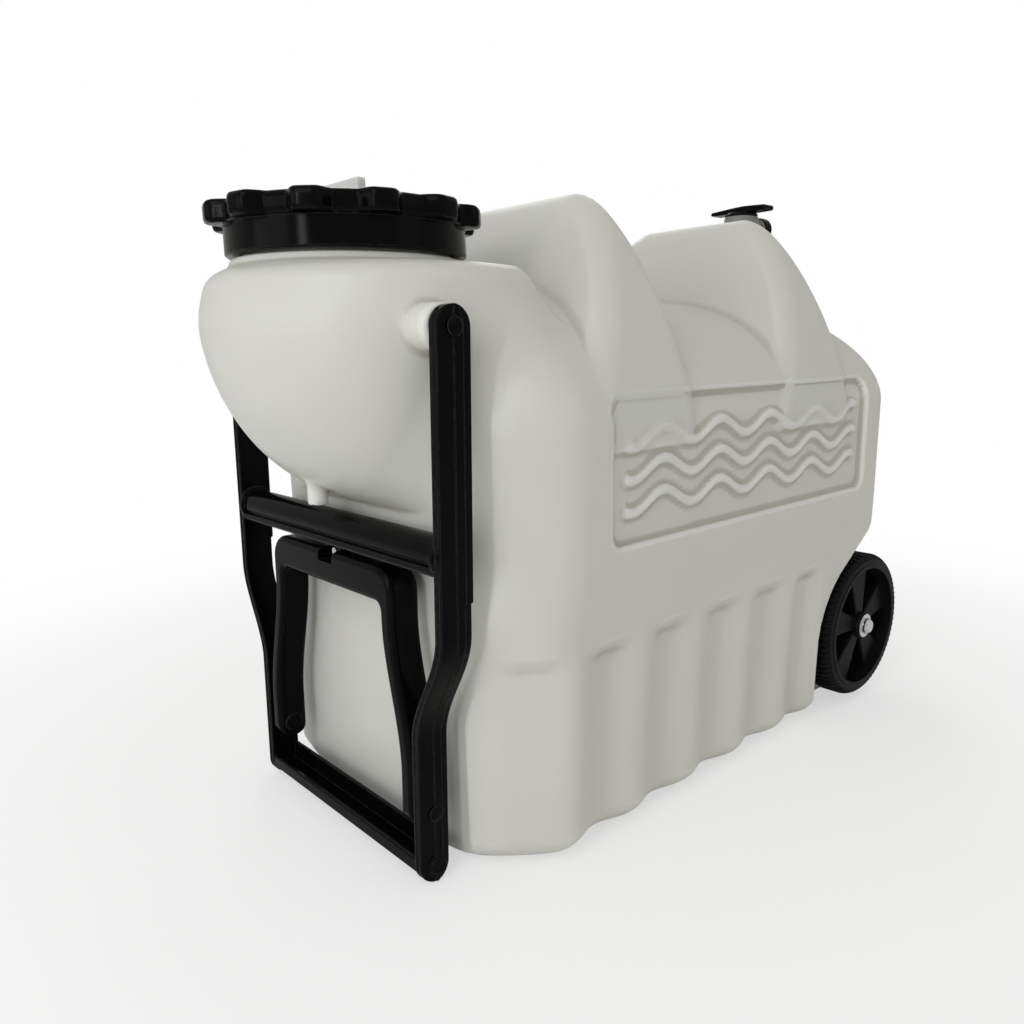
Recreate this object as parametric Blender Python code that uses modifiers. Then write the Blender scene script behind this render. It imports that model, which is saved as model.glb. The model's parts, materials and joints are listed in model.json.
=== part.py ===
"""Rolling water container: blow-moulded tank on two wheels, with filler cap, tap and folding handle.

Metres, +Z up.  The handle end is at -X, the wheel end at +X, and the base stands on z = 0.
"""
import math

import bmesh
import bpy
import numpy as np
from mathutils import Matrix

# Driving dimensions of the whole container
TOTAL_LENGTH = 0.447
TANK_WIDTH = 0.246
HOOP_HEIGHT = 0.3375
DECK_HEIGHT = 0.291
SHOULDER_HEIGHT = 0.215
NECK_OVERHANG = 0.0637
REAR_OVERHANG = 0.0203
WALL = 0.0026
FIT_GAP = 0.0003

# Wheels and axle
WHEEL_RADIUS = 0.0515
WHEEL_WIDTH = 0.0235
WHEEL_LIFT = 0.0045
AXLE_RADIUS = 0.0040
AXLE_END = 0.0020
TRACK_OUTER = 0.2480
AXLE_LENGTH = TRACK_OUTER + 2 * AXLE_END

# Filler mouth and cap
MOUTH_RADIUS = 0.0450
NECK_RADIUS = 0.0495
NECK_TOP = 0.3130
CAP_SKIRT_RADIUS = 0.0575
CAP_LOBE_RADIUS = 0.0655
CAP_HEIGHT = 0.0236
CAP_LOBES = 12

# Handle
ARM_SPREAD = 0.2024
ARM_THICKNESS = 0.0065
ARM_DEPTH = 0.0180
HANDLE_LEAN = math.radians(1.9)
PIVOT_HEIGHT = 0.2620
HANDLE_REACH = 0.2615
CROSSBAR_DROP = 0.0968
GRIP_SPREAD = 0.1460
GRIP_TOP_SPREAD = 0.1190
GRIP_PIVOT_RISE = 0.0360
GRIP_TO_CROSSBAR = 0.0115
GRIP_LENGTH = HANDLE_REACH - GRIP_PIVOT_RISE - CROSSBAR_DROP - GRIP_TO_CROSSBAR
GRIP_BAR = 0.0100

# Tap
TAP_NECK_RADIUS = 0.0150
TAP_BORE = 0.0095
TAP_NECK_TOP = 0.3195
TAP_BODY_RADIUS = 0.0125
TAP_BODY_HEIGHT = 0.0240

# Places worked out from the sizes above
FRONT_X = -TOTAL_LENGTH / 2
REAR_X = TOTAL_LENGTH / 2
WHEEL_X = REAR_X - WHEEL_RADIUS
WHEEL_Z = WHEEL_RADIUS + WHEEL_LIFT
NECK_X = FRONT_X + 0.0710
PIVOT_X = FRONT_X + 0.0573
BODY_REAR = REAR_X - REAR_OVERHANG
BODY_FRONT = FRONT_X + NECK_OVERHANG
TANK_LENGTH = BODY_REAR - BODY_FRONT
TAP_X = BODY_REAR - 0.0200
HALF_WIDTH = TANK_WIDTH / 2

PARTS = "Rolling_Water_Container"
CUTTERS = "Cutters"


def clear_scene():
    for item in list(bpy.data.objects):
        bpy.data.objects.remove(item, do_unlink=True)
    for name in (PARTS, CUTTERS):
        group = bpy.data.collections.new(name)
        bpy.context.scene.collection.children.link(group)
    bpy.data.collections[CUTTERS].hide_render = True


def material(name, colour, roughness, metallic=0.0):
    made = bpy.data.materials.new(name)
    made.use_nodes = True
    shader = made.node_tree.nodes["Principled BSDF"]
    shader.inputs["Base Color"].default_value = (*colour, 1.0)
    shader.inputs["Roughness"].default_value = roughness
    shader.inputs["Metallic"].default_value = metallic
    made.diffuse_color = (*colour, 1.0)
    return made


def new_object(name, bm, group=PARTS):
    mesh = bpy.data.meshes.new(name)
    bmesh.ops.recalc_face_normals(bm, faces=bm.faces)
    bm.to_mesh(mesh)
    bm.free()
    made = bpy.data.objects.new(name, mesh)
    bpy.data.collections[group].objects.link(made)
    if group == CUTTERS:
        made.display_type = "WIRE"
        made.hide_render = True
    return made


def finish(made, paint, angle=40.0):
    made.data.materials.clear()
    made.data.materials.append(paint)
    made.data.shade_smooth()
    made.data.set_sharp_from_angle(angle=math.radians(angle))
    return made


def apply_modifiers(made):
    depsgraph = bpy.context.evaluated_depsgraph_get()
    mesh = bpy.data.meshes.new_from_object(made.evaluated_get(depsgraph))
    old = made.data
    made.modifiers.clear()
    made.data = mesh
    bpy.data.meshes.remove(old)
    return made


def weld(made, distance=0.000004):
    """Merge the points that a cut leaves closer together than any real edge."""
    bm = bmesh.new()
    bm.from_mesh(made.data)
    bmesh.ops.remove_doubles(bm, verts=bm.verts, dist=distance)
    bmesh.ops.dissolve_degenerate(bm, edges=bm.edges, dist=distance)
    crooked = [face for face in bm.faces if len(face.verts) > 4]
    bmesh.ops.triangulate(bm, faces=crooked)
    bm.to_mesh(made.data)
    bm.free()


def combine(target, tools, operation):
    """Join, cut or intersect the target with tool objects, which are then removed."""
    for tool in tools:
        step = target.modifiers.new(operation, "BOOLEAN")
        step.operation = operation
        step.solver = "EXACT"
        step.object = tool
        apply_modifiers(target)
        weld(target)
        bpy.data.objects.remove(tool, do_unlink=True)
    return target


def turned(name, profile, steps=48, group=PARTS, closed=True):
    """Solid of revolution about Z; the profile lists (radius, height) down the outer side."""
    bm = bmesh.new()
    verts = [bm.verts.new((radius, 0.0, height)) for radius, height in profile]
    for first, second in zip(verts, verts[1:]):
        bm.edges.new((first, second))
    if closed:
        bm.edges.new((verts[-1], verts[0]))
    mesh = bpy.data.meshes.new(name)
    bm.to_mesh(mesh)
    bm.free()
    made = bpy.data.objects.new(name, mesh)
    bpy.data.collections[group].objects.link(made)
    screw = made.modifiers.new("Turn", "SCREW")
    screw.steps = steps
    screw.render_steps = steps
    screw.use_merge_vertices = True
    screw.merge_threshold = 0.00001
    apply_modifiers(made)
    bm = bmesh.new()
    bm.from_mesh(made.data)
    bmesh.ops.remove_doubles(bm, verts=bm.verts, dist=0.00001)
    bmesh.ops.recalc_face_normals(bm, faces=bm.faces)
    bm.to_mesh(made.data)
    bm.free()
    if group == CUTTERS:
        made.display_type = "WIRE"
        made.hide_render = True
    return made


def box(name, low, high, group=PARTS, bevel=0.0):
    bm = bmesh.new()
    bmesh.ops.create_cube(bm, size=1.0)
    size = [b - a for a, b in zip(low, high)]
    middle = [(a + b) / 2 for a, b in zip(low, high)]
    bmesh.ops.scale(bm, vec=size, verts=bm.verts)
    bmesh.ops.translate(bm, vec=middle, verts=bm.verts)
    if bevel:
        bmesh.ops.bevel(bm, geom=bm.edges[:], offset=bevel, segments=2, affect="EDGES", profile=0.5)
    return new_object(name, bm, group)


def cylinder(name, centre, radius, length, axis="Z", segments=32, group=PARTS, top_radius=None):
    bm = bmesh.new()
    bmesh.ops.create_cone(
        bm,
        cap_ends=True,
        segments=segments,
        radius1=radius,
        radius2=radius if top_radius is None else top_radius,
        depth=length,
    )
    turn = {
        "X": Matrix.Rotation(math.pi / 2, 4, "Y"),
        "Y": Matrix.Rotation(-math.pi / 2, 4, "X"),
        "Z": Matrix.Identity(4),
    }[axis]
    bmesh.ops.transform(bm, matrix=Matrix.Translation(centre) @ turn, verts=bm.verts)
    return new_object(name, bm, group)


def prism(name, outline, axis, low, high, group=PARTS):
    """Solid between two planes square to an axis; the outline lists the other two coordinates in order."""
    bm = bmesh.new()

    def place(point, level):
        first, second = point
        if axis == "X":
            return (level, first, second)
        if axis == "Y":
            return (first, level, second)
        return (first, second, level)

    bottom = [bm.verts.new(place(point, low)) for point in outline]
    top = [bm.verts.new(place(point, high)) for point in outline]
    bm.faces.new(bottom)
    bm.faces.new(top)
    for index in range(len(outline)):
        after = (index + 1) % len(outline)
        bm.faces.new((bottom[index], bottom[after], top[after], top[index]))
    return new_object(name, bm, group)


def arc(centre, radius, start, end, count):
    """Points of an arc, angles in degrees, both ends included."""
    angles = np.radians(np.linspace(start, end, count))
    return [(centre[0] + radius * math.cos(a), centre[1] + radius * math.sin(a)) for a in angles]


def move_mesh(made, offset):
    made.data.transform(Matrix.Translation(offset))
    return made


# Tank shape: signed fields, negative inside

CHIN_FRONT = FRONT_X
CHIN_TOP = DECK_HEIGHT - 0.024
CHIN_LOW = PIVOT_HEIGHT - CROSSBAR_DROP + 0.0128
CHIN_DROP = CHIN_TOP - CHIN_LOW
CHIN_CENTRE_X = FRONT_X + 0.0890
CHIN_HALF_WIDTH = 0.0925
CHIN_TIP_LENGTH = 0.0150
CHIN_TIP_WIDTH = 0.0450
CHIN_POWER = 1.85
CHIN_EDGE = 0.0160
CHIN_FILLET = 0.0080
CHIN_BACK_X = CHIN_CENTRE_X + 0.0300
FRONT_UPPER_X = BODY_FRONT + 0.0010
FRONT_LOWER_X = BODY_FRONT - 0.0070
FRONT_CORNER = 0.0500
REAR_CORNER = 0.0350
BASE_EDGE = 0.0180
LOWER_INSET = 0.0040
FLUTE_COUNT = 5
FLUTE_PITCH = 0.0470
FLUTE_START = BODY_FRONT + 0.0430
FLUTE_DEPTH = 0.0048
FLUTE_TOP = 0.1150
DECK_STEP = 0.0100
REAR_DECK = DECK_HEIGHT - DECK_STEP
DECK_POWER = 1.8
HOOP_RIDGES = (BODY_FRONT + 0.3328 * TANK_LENGTH, BODY_FRONT + 0.7777 * TANK_LENGTH)
HOOP_CROWN = 0.0110
HOOP_FRONT_SLOPE = 0.6000
HOOP_FLAT_HALF = 0.0400
HOOP_POWER = 1.42
RIDGE_ROUNDING = 0.0090
REAR_ROUNDING = 0.0070
HOOP_FILLET = 0.0030
HOOP_FOOT = SHOULDER_HEIGHT - 0.0400
CREST_SOLID = 0.0100

# Grid of the tank's skins: cells in each zone along X, Y and Z
OUTER_CELLS = ((5, 5, 2, 1, 1, 9, 2, 1, 1, 2, 4), (4, 8, 4), (3, 2, 2, 3, 5, 5))
INNER_CELLS = ((4, 4, 2, 1, 1, 6, 2, 1, 1, 1, 3), (3, 6, 3), (2, 1, 1, 2, 5, 3))


def smooth_step(value):
    value = np.clip(value, 0.0, 1.0)
    return value * value * (3.0 - 2.0 * value)


def round_max(first, second, radius):
    """Intersection of two fields with a convex rounding."""
    inner = np.minimum(np.maximum(first, second), -radius)
    outer = np.hypot(np.maximum(first + radius, 0.0), np.maximum(second + radius, 0.0))
    return inner + outer


def round_min(first, second, radius):
    """Union of two fields with a concave fillet."""
    inner = np.maximum(np.minimum(first, second), radius)
    outer = np.hypot(np.maximum(radius - first, 0.0), np.maximum(radius - second, 0.0))
    return inner - outer


def arch_field(y, z, half_width, flat_half, top, power):
    """Cross-section with straight sides up to the shoulder and a round top, flat in its middle."""
    rise = top - SHOULDER_HEIGHT
    lift = np.maximum(z - SHOULDER_HEIGHT, 0.0) / rise
    across = np.maximum(np.abs(y) - flat_half, 0.0) / (half_width - flat_half)
    return ((across ** power + lift ** power) ** (1.0 / power) - 1.0) * rise


def side_width(x, z, outside):
    """Half width of the body at a height, with the upright flutes of its lower part."""
    width = HALF_WIDTH - LOWER_INSET * (1.0 - smooth_step(z / 0.16))
    if not outside:
        return width - FLUTE_DEPTH * (1.0 - smooth_step((z - FLUTE_TOP) / 0.012))
    phase = (x - FLUTE_START) / FLUTE_PITCH
    along = np.clip(phase, -0.5, FLUTE_COUNT - 0.5)
    dip = 1.0 - np.abs(np.cos(math.pi * along))
    in_row = smooth_step((phase + 0.9) / 0.4) * smooth_step((FLUTE_COUNT - 0.1 - phase) / 0.4)
    in_height = 1.0 - smooth_step((z - FLUTE_TOP + 0.010) / 0.010)
    return width - FLUTE_DEPTH * dip * in_row * in_height


def tank_field(x, y, z, outside):
    """Outside of the tank without its neck, bosses and pockets."""
    width = side_width(x, z, outside)
    deck = DECK_HEIGHT - DECK_STEP * smooth_step((x - HOOP_RIDGES[0]) / 0.02)
    section = arch_field(y, z, width, 0.0, deck, DECK_POWER)
    front_x = FRONT_LOWER_X + (FRONT_UPPER_X - FRONT_LOWER_X) * smooth_step((z - 0.12) / 0.04)
    corner = FRONT_CORNER + (REAR_CORNER - FRONT_CORNER) * smooth_step(x / 0.1)
    ends = np.maximum(front_x - x, x - BODY_REAR)
    body = round_max(section, ends, corner)
    body = round_max(body, -z, BASE_EDGE)

    drop = np.clip((CHIN_TOP - z) / CHIN_DROP, 0.0, 1.0)
    reach = (1.0 - drop ** CHIN_POWER) ** (1.0 / CHIN_POWER)
    half_length = CHIN_TIP_LENGTH + (CHIN_CENTRE_X - CHIN_FRONT - CHIN_TIP_LENGTH) * reach
    half_side = CHIN_TIP_WIDTH + (CHIN_HALF_WIDTH - CHIN_TIP_WIDTH) * reach
    ring = np.sqrt(((x - CHIN_CENTRE_X) / half_length) ** 2 + (y / half_side) ** 2)
    chin = (ring - 1.0) * np.minimum(half_length, half_side)
    chin = round_max(chin, z - DECK_HEIGHT, CHIN_EDGE)
    chin = np.maximum(chin, x - CHIN_BACK_X)
    chin = np.maximum(chin, CHIN_LOW - z)
    body = round_min(body, chin, CHIN_FILLET)

    below = HOOP_HEIGHT - z
    crest = HOOP_HEIGHT if outside else HOOP_HEIGHT - CREST_SOLID
    arch = arch_field(y, z, width, HOOP_FLAT_HALF, crest, HOOP_POWER)
    arch = np.maximum(arch, HOOP_FOOT - z)
    for ridge in HOOP_RIDGES:
        front = (ridge - below * HOOP_FRONT_SLOPE - x) / math.hypot(1.0, HOOP_FRONT_SLOPE)
        rear = x - ridge - HOOP_CROWN
        hoop = round_max(arch, front, RIDGE_ROUNDING)
        hoop = round_max(hoop, rear, REAR_ROUNDING)
        body = round_min(body, hoop, HOOP_FILLET)
    return body


def grid_lines(marks, counts):
    """Grid lines through the marks, with the given number of cells between each two."""
    lines = [marks[0]]
    for first, second, count in zip(marks, marks[1:], counts):
        lines += [first + (second - first) * k / count for k in range(1, count + 1)]
    return lines


def tank_skin(name, outside, inset, cells, group):
    """Closed skin found by following rays out of a core block until they leave the tank.

    The rays fan out beyond the ends of the core block, so each axis has a fan zone at both ends.
    """
    core_low = np.array((BODY_FRONT + 0.042, -HALF_WIDTH + 0.060, 0.055))
    core_high = np.array((BODY_REAR - 0.050, HALF_WIDTH - 0.060, SHOULDER_HEIGHT + 0.012))
    fan = 0.045
    low = core_low - fan
    high = core_high + fan
    x_cells, y_cells, z_cells = cells
    x_marks = [low[0], core_low[0]]
    for ridge in HOOP_RIDGES:
        foot = ridge - (HOOP_HEIGHT - DECK_HEIGHT + DECK_STEP / 2) * HOOP_FRONT_SLOPE
        crown_end = ridge + HOOP_CROWN - REAR_ROUNDING * 0.3
        x_marks += [foot, ridge, crown_end, ridge + HOOP_CROWN + 0.0010]
    x_marks += [core_high[0], high[0]]
    y_marks = (low[1], core_low[1], core_high[1], high[1])
    flute_end = FLUTE_TOP + 0.002
    z_marks = (low[2], core_low[2], FLUTE_TOP - 0.010, flute_end, CHIN_LOW - 0.012, core_high[2], high[2])
    lines = (grid_lines(x_marks, x_cells), grid_lines(y_marks, y_cells), grid_lines(z_marks, z_cells))

    points = []
    index_of = {}

    def point_index(key):
        if key not in index_of:
            index_of[key] = len(points)
            points.append([lines[axis][key[axis]] for axis in range(3)])
        return index_of[key]

    quads = []
    for axis in range(3):
        first, second = [other for other in range(3) if other != axis]
        for end in (0, len(lines[axis]) - 1):
            for i in range(len(lines[first]) - 1):
                for j in range(len(lines[second]) - 1):
                    keys = []
                    for a, b in ((i, j), (i + 1, j), (i + 1, j + 1), (i, j + 1)):
                        key = [0, 0, 0]
                        key[axis] = end
                        key[first] = a
                        key[second] = b
                        keys.append(point_index(tuple(key)))
                    quads.append(keys)

    points = np.array(points)
    starts = np.clip(points, core_low, core_high)
    rays = points - starts
    rays /= np.linalg.norm(rays, axis=1, keepdims=True)

    def field(distance):
        spots = starts + rays * distance[:, None]
        thicker = 0.0 if outside else UPPER_MARGIN * smooth_step((spots[:, 2] - SHOULDER_HEIGHT) / 0.03)
        return tank_field(spots[:, 0], spots[:, 1], spots[:, 2], outside) + inset + thicker

    near = np.zeros(len(points))
    far = np.zeros(len(points))
    found = np.zeros(len(points), dtype=bool)
    for step in range(1, 121):
        distance = np.full(len(points), step * 0.0015)
        beyond = field(distance) > 0.0
        fresh = beyond & ~found
        far[fresh] = distance[fresh]
        near[fresh] = distance[fresh] - 0.0015
        found |= beyond
    for _ in range(16):
        middle = (near + far) / 2
        beyond = field(middle) > 0.0
        far = np.where(beyond, middle, far)
        near = np.where(beyond, near, middle)
    points = starts + rays * near[:, None]

    bm = bmesh.new()
    verts = [bm.verts.new(point) for point in points]
    for keys in quads:
        bm.faces.new([verts[k] for k in keys])
    bmesh.ops.triangulate(bm, faces=bm.faces)
    return new_object(name, bm, group)


NUB_RADIUS = 0.0050
THREAD_RISE = 0.0010
SKIN_MARGIN = 0.0010
UPPER_MARGIN = 0.0020
BOSS_RADIUS = 0.0100
HANDLE_CLEARANCE = 0.0030
RECESS_FLOOR_X = BODY_FRONT + 0.0030
RECESS_TOP = PIVOT_HEIGHT - 0.1000
WHEEL_CLEARANCE = 0.0045
ARCH_SLOPE = math.radians(35)
ARCH_DEPTH_Y = TRACK_OUTER / 2 - WHEEL_WIDTH - 0.0045
TUNNEL_RADIUS = AXLE_RADIUS + FIT_GAP
TUNNEL_WALL = 0.0030
ARM_OUTER = ARM_SPREAD / 2
ARM_INNER = ARM_OUTER - ARM_THICKNESS
ARM_LOWER = ARM_OUTER - 0.0202
BEND_TOP = PIVOT_HEIGHT - 0.1330
BEND_BOTTOM = PIVOT_HEIGHT - 0.1870
PIN_RADIUS = 0.0030
WASHER_THICKNESS = 0.0008
BOSS_END = ARM_INNER - WASHER_THICKNESS - 2 * FIT_GAP
PLATE_LOW = (BODY_FRONT + 0.0670, 0.1650)
PLATE_HIGH = (BODY_REAR - 0.0520, 0.2200)
PLATE_DEPTH = 0.0016


def arm_outer_at(z):
    """Outer face of the handle arms at a height, as a distance from the middle plane."""
    fraction = smooth_step((z - BEND_BOTTOM) / (BEND_TOP - BEND_BOTTOM))
    return float(ARM_LOWER + (ARM_OUTER - ARM_LOWER) * fraction)


def wheel_arch(name, extra, side):
    """Pocket for a wheel in the rear lower corner of the tank, open behind and below."""
    radius = WHEEL_RADIUS + WHEEL_CLEARANCE + extra
    outline = [(WHEEL_X - radius, -0.02)]
    outline += arc((WHEEL_X, WHEEL_Z), radius, 180, 90 + math.degrees(ARCH_SLOPE), 11)
    touch_x, touch_z = outline[-1]
    outside_x = REAR_X + 0.03
    outline += [(outside_x, touch_z + (outside_x - touch_x) * math.tan(ARCH_SLOPE)), (outside_x, -0.02)]
    near = ARCH_DEPTH_Y - extra
    low, high = (near, 0.2) if side > 0 else (-0.2, -near)
    return prism(name, outline, "Y", low, high, CUTTERS)


def handle_recess(name, extra):
    """Shallow pocket in the front wall that follows the outline of the folded handle."""
    levels = np.linspace(PIVOT_HEIGHT - 0.250, PIVOT_HEIGHT - 0.112, 12)
    clearance = HANDLE_CLEARANCE + extra
    right = [(arm_outer_at(z) + clearance, float(z)) for z in levels]
    right = [(right[0][0], -0.02)] + right
    top = RECESS_TOP + extra
    outline = right + [(ARM_OUTER - 0.004, top), (-ARM_OUTER + 0.004, top)]
    outline += [(-y, z) for y, z in reversed(right)]
    return prism(name, outline, "X", FRONT_X - 0.02, RECESS_FLOOR_X + extra, CUTTERS)


def outside_cuts(extra):
    """Pockets cut into the tank; grown by the wall they keep the hollow away from them."""
    cuts = [handle_recess("recess", extra)]
    slot_back = PIVOT_X + ARM_DEPTH / 2 + 0.0015 + extra
    slot_top = PIVOT_HEIGHT + 0.013 + extra
    for side in (-1, 1):
        cuts.append(wheel_arch("arch", extra, side))
        near = side * (BOSS_END + FIT_GAP - extra)
        far = side * (ARM_OUTER + 0.0025 + extra)
        low, high = sorted((near, far))
        cuts.append(box("arm_slot", (FRONT_X, low, RECESS_TOP - 0.042), (slot_back, high, slot_top), CUTTERS))
    return cuts


def thread_profile():
    """Two raised rings on the neck, standing for its screw thread."""
    points = []
    for turn in range(2):
        level = NECK_TOP - 0.0055 - 0.0060 * turn
        points += [
            (NECK_RADIUS, level + 0.0018),
            (NECK_RADIUS + THREAD_RISE, level + 0.0006),
            (NECK_RADIUS + THREAD_RISE, level - 0.0006),
            (NECK_RADIUS, level - 0.0018),
        ]
    return points


def make_tank(paint):
    tank = tank_skin("tank", True, 0.0, OUTER_CELLS, PARTS)
    base = DECK_HEIGHT - 0.020
    outlet_base = REAR_DECK - 0.030
    neck = turned(
        "neck",
        [
            (MOUTH_RADIUS - 0.006, base),
            (MOUTH_RADIUS - 0.006, NECK_TOP),
            (NECK_RADIUS - 0.001, NECK_TOP),
            (NECK_RADIUS, NECK_TOP - 0.001),
            *thread_profile(),
            (NECK_RADIUS, DECK_HEIGHT + 0.0050),
            (NECK_RADIUS + 0.0040, DECK_HEIGHT + 0.0018),
            (NECK_RADIUS + 0.0100, DECK_HEIGHT - 0.0010),
            (NECK_RADIUS + 0.0100, base),
        ],
        48,
    )
    move_mesh(neck, (NECK_X, 0.0, 0.0))
    outlet = turned(
        "outlet",
        [
            (TAP_BORE - 0.003, outlet_base),
            (TAP_BORE - 0.003, TAP_NECK_TOP),
            (TAP_NECK_RADIUS, TAP_NECK_TOP),
            (TAP_NECK_RADIUS, REAR_DECK + 0.004),
            (TAP_NECK_RADIUS + 0.002, REAR_DECK + 0.001),
            (TAP_NECK_RADIUS + 0.002, outlet_base),
        ],
        32,
    )
    move_mesh(outlet, (TAP_X, 0.0, 0.0))
    nub = cylinder("nub", (FRONT_X + 0.044, 0.0, CHIN_LOW + 0.009), NUB_RADIUS, 0.018, "Z", 16)
    bosses = []
    for side in (-1, 1):
        boss_length = BOSS_END - 0.070
        middle = side * (0.070 + boss_length / 2)
        bosses.append(cylinder("boss", (PIVOT_X, middle, PIVOT_HEIGHT), BOSS_RADIUS, boss_length, "Y", 24))
    combine(tank, [nub], "UNION")

    combine(tank, outside_cuts(0.0), "DIFFERENCE")
    combine(tank, [neck, outlet, *bosses], "UNION")

    hollow = tank_skin("hollow", False, WALL + SKIN_MARGIN, INNER_CELLS, CUTTERS)
    mouth = cylinder("mouth", (NECK_X, 0.0, NECK_TOP - 0.030), MOUTH_RADIUS, 0.080, "Z", 48, CUTTERS)
    hole_length = TAP_NECK_TOP + 0.010 - outlet_base
    hole_middle = (TAP_X, 0.0, outlet_base + hole_length / 2)
    tap_hole = cylinder("tap_hole", hole_middle, TAP_BORE, hole_length, "Z", 32, CUTTERS)
    tunnel_wall = cylinder(
        "tunnel_wall", (WHEEL_X, 0.0, WHEEL_Z), TUNNEL_RADIUS + TUNNEL_WALL, 0.3, "Y", 20, CUTTERS
    )
    combine(hollow, [*outside_cuts(WALL), tunnel_wall], "DIFFERENCE")
    tunnel = cylinder("tunnel", (WHEEL_X, 0.0, WHEEL_Z), TUNNEL_RADIUS, 0.3, "Y", 20, CUTTERS)
    combine(tank, [hollow], "DIFFERENCE")
    combine(tank, [mouth, tap_hole], "DIFFERENCE")
    combine(tank, [tunnel], "DIFFERENCE")

    holes = []
    for side in (-1, 1):
        depth = 0.0080
        middle = side * (BOSS_END - depth / 2 + 0.001)
        radius = PIN_RADIUS + FIT_GAP
        holes.append(
            cylinder("pin_hole", (PIVOT_X, middle, PIVOT_HEIGHT), radius, depth + 0.002, "Y", 16, CUTTERS)
        )
        plate = box(
            "plate_cut",
            (PLATE_LOW[0], HALF_WIDTH - PLATE_DEPTH, PLATE_LOW[1]),
            (PLATE_HIGH[0], HALF_WIDTH + 0.01, PLATE_HIGH[1]),
            CUTTERS,
        )
        if side < 0:
            plate.data.transform(Matrix.Scale(-1, 4, (0, 1, 0)))
            plate.data.flip_normals()
        holes.append(plate)
    combine(tank, holes, "DIFFERENCE")
    return finish(tank, paint, 50)


# Filler cap, gasket and vent

CAP_BOTTOM = DECK_HEIGHT + 0.0054
CAP_TOP = CAP_BOTTOM + CAP_HEIGHT
GASKET_THICKNESS = 0.0022
CAP_INSIDE_TOP = NECK_TOP + GASKET_THICKNESS + 2 * FIT_GAP
CAP_INNER = NECK_RADIUS + 0.0018
RIM_BOTTOM = CAP_TOP - 0.0100
GRIP_RING_RADIUS = CAP_SKIRT_RADIUS + 0.0008
FIRST_KNOB = 14.2
KNOB_HALF_ANGLE = 6.6
KNOB_FLANK = 6.0
KNOB_OFFSETS = (-9.0, -5.0, 0.0, 5.0, 9.0, 15.0)
VENT_HOLE = 0.0065
VENT_FLANGE = 0.0120
VENT_TAB_TOP = 0.3325
VENT_TAB_HALF = 0.0155


def grip_edge():
    """Outline of the cap's grip edge: rounded knobs on a ring little wider than the skirt."""
    pitch = 360.0 / CAP_LOBES
    outline = []
    for lobe in range(CAP_LOBES):
        for offset in KNOB_OFFSETS:
            share = float(smooth_step((KNOB_HALF_ANGLE + KNOB_FLANK / 2 - abs(offset)) / KNOB_FLANK))
            radius = GRIP_RING_RADIUS + (CAP_LOBE_RADIUS - GRIP_RING_RADIUS) * share
            angle = math.radians(FIRST_KNOB + lobe * pitch + offset)
            outline.append((radius * math.cos(angle), radius * math.sin(angle)))
    return outline


def make_cap(black):
    inner = CAP_INNER
    cap = turned(
        "filler_cap",
        [
            (0.0, CAP_TOP),
            (CAP_SKIRT_RADIUS - 0.0012, CAP_TOP),
            (CAP_SKIRT_RADIUS - 0.0012, RIM_BOTTOM + 0.0012),
            (CAP_SKIRT_RADIUS, CAP_BOTTOM + 0.001),
            (CAP_SKIRT_RADIUS - 0.001, CAP_BOTTOM),
            (inner, CAP_BOTTOM),
            (inner, CAP_INSIDE_TOP),
            (0.0, CAP_INSIDE_TOP),
        ],
        48,
        closed=False,
    )
    rim = prism("rim", grip_edge(), "Z", RIM_BOTTOM, CAP_TOP - 0.0008)
    core = cylinder("core", (0, 0, CAP_TOP - 0.005), CAP_SKIRT_RADIUS - 0.004, 0.03, "Z", 48, CUTTERS)
    combine(rim, [core], "DIFFERENCE")
    bevel = rim.modifiers.new("Edges", "BEVEL")
    bevel.width = 0.0014
    bevel.segments = 1
    bevel.limit_method = "ANGLE"
    bevel.angle_limit = math.radians(60)
    apply_modifiers(rim)
    combine(cap, [rim], "UNION")
    hole = cylinder("vent_hole", (0, 0, CAP_TOP), VENT_HOLE, 0.04, "Z", 24, CUTTERS)
    combine(cap, [hole], "DIFFERENCE")
    cap.location = (NECK_X, 0.0, 0.0)
    return finish(cap, black, 35)


def make_gasket(rubber):
    low = NECK_TOP + FIT_GAP
    high = low + GASKET_THICKNESS
    inside = MOUTH_RADIUS - 0.001
    outside = NECK_RADIUS + 0.0005
    gasket = turned("cap_gasket", [(inside, high), (outside, high), (outside, low), (inside, low)], 48)
    gasket.location = (NECK_X, 0.0, 0.0)
    return finish(gasket, rubber)


def make_vent(plastic, rubber):
    seal_low = CAP_TOP + FIT_GAP
    seal_high = seal_low + 0.0010
    seal = turned(
        "vent_seal",
        [
            (VENT_FLANGE - 0.001, seal_high),
            (VENT_FLANGE - 0.001, seal_low),
            (VENT_HOLE + 0.0008, seal_low),
            (VENT_HOLE + 0.0008, seal_high),
        ],
        24,
    )
    seal.location = (NECK_X, 0.0, 0.0)
    finish(seal, rubber)

    flange_low = seal_high + FIT_GAP
    stem = VENT_HOLE - FIT_GAP
    plug = turned(
        "vent_plug",
        [
            (0.0, flange_low + 0.0024),
            (VENT_FLANGE - 0.001, flange_low + 0.0024),
            (VENT_FLANGE, flange_low + 0.0014),
            (VENT_FLANGE, flange_low),
            (stem, flange_low),
            (stem, CAP_INSIDE_TOP + 0.0005),
            (stem - 0.001, CAP_INSIDE_TOP - 0.0005),
            (0.0, CAP_INSIDE_TOP - 0.0005),
        ],
        24,
        closed=False,
    )
    tab_low = (-0.0025, -VENT_TAB_HALF, flange_low + 0.0004)
    tab_high = (0.0025, VENT_TAB_HALF, VENT_TAB_TOP)
    tab = box("tab", tab_low, tab_high, PARTS, 0.0010)
    combine(plug, [tab], "UNION")
    plug.location = (NECK_X, 0.0, 0.0)
    return finish(plug, plastic)


# Tap on the rear end of the deck

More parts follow.
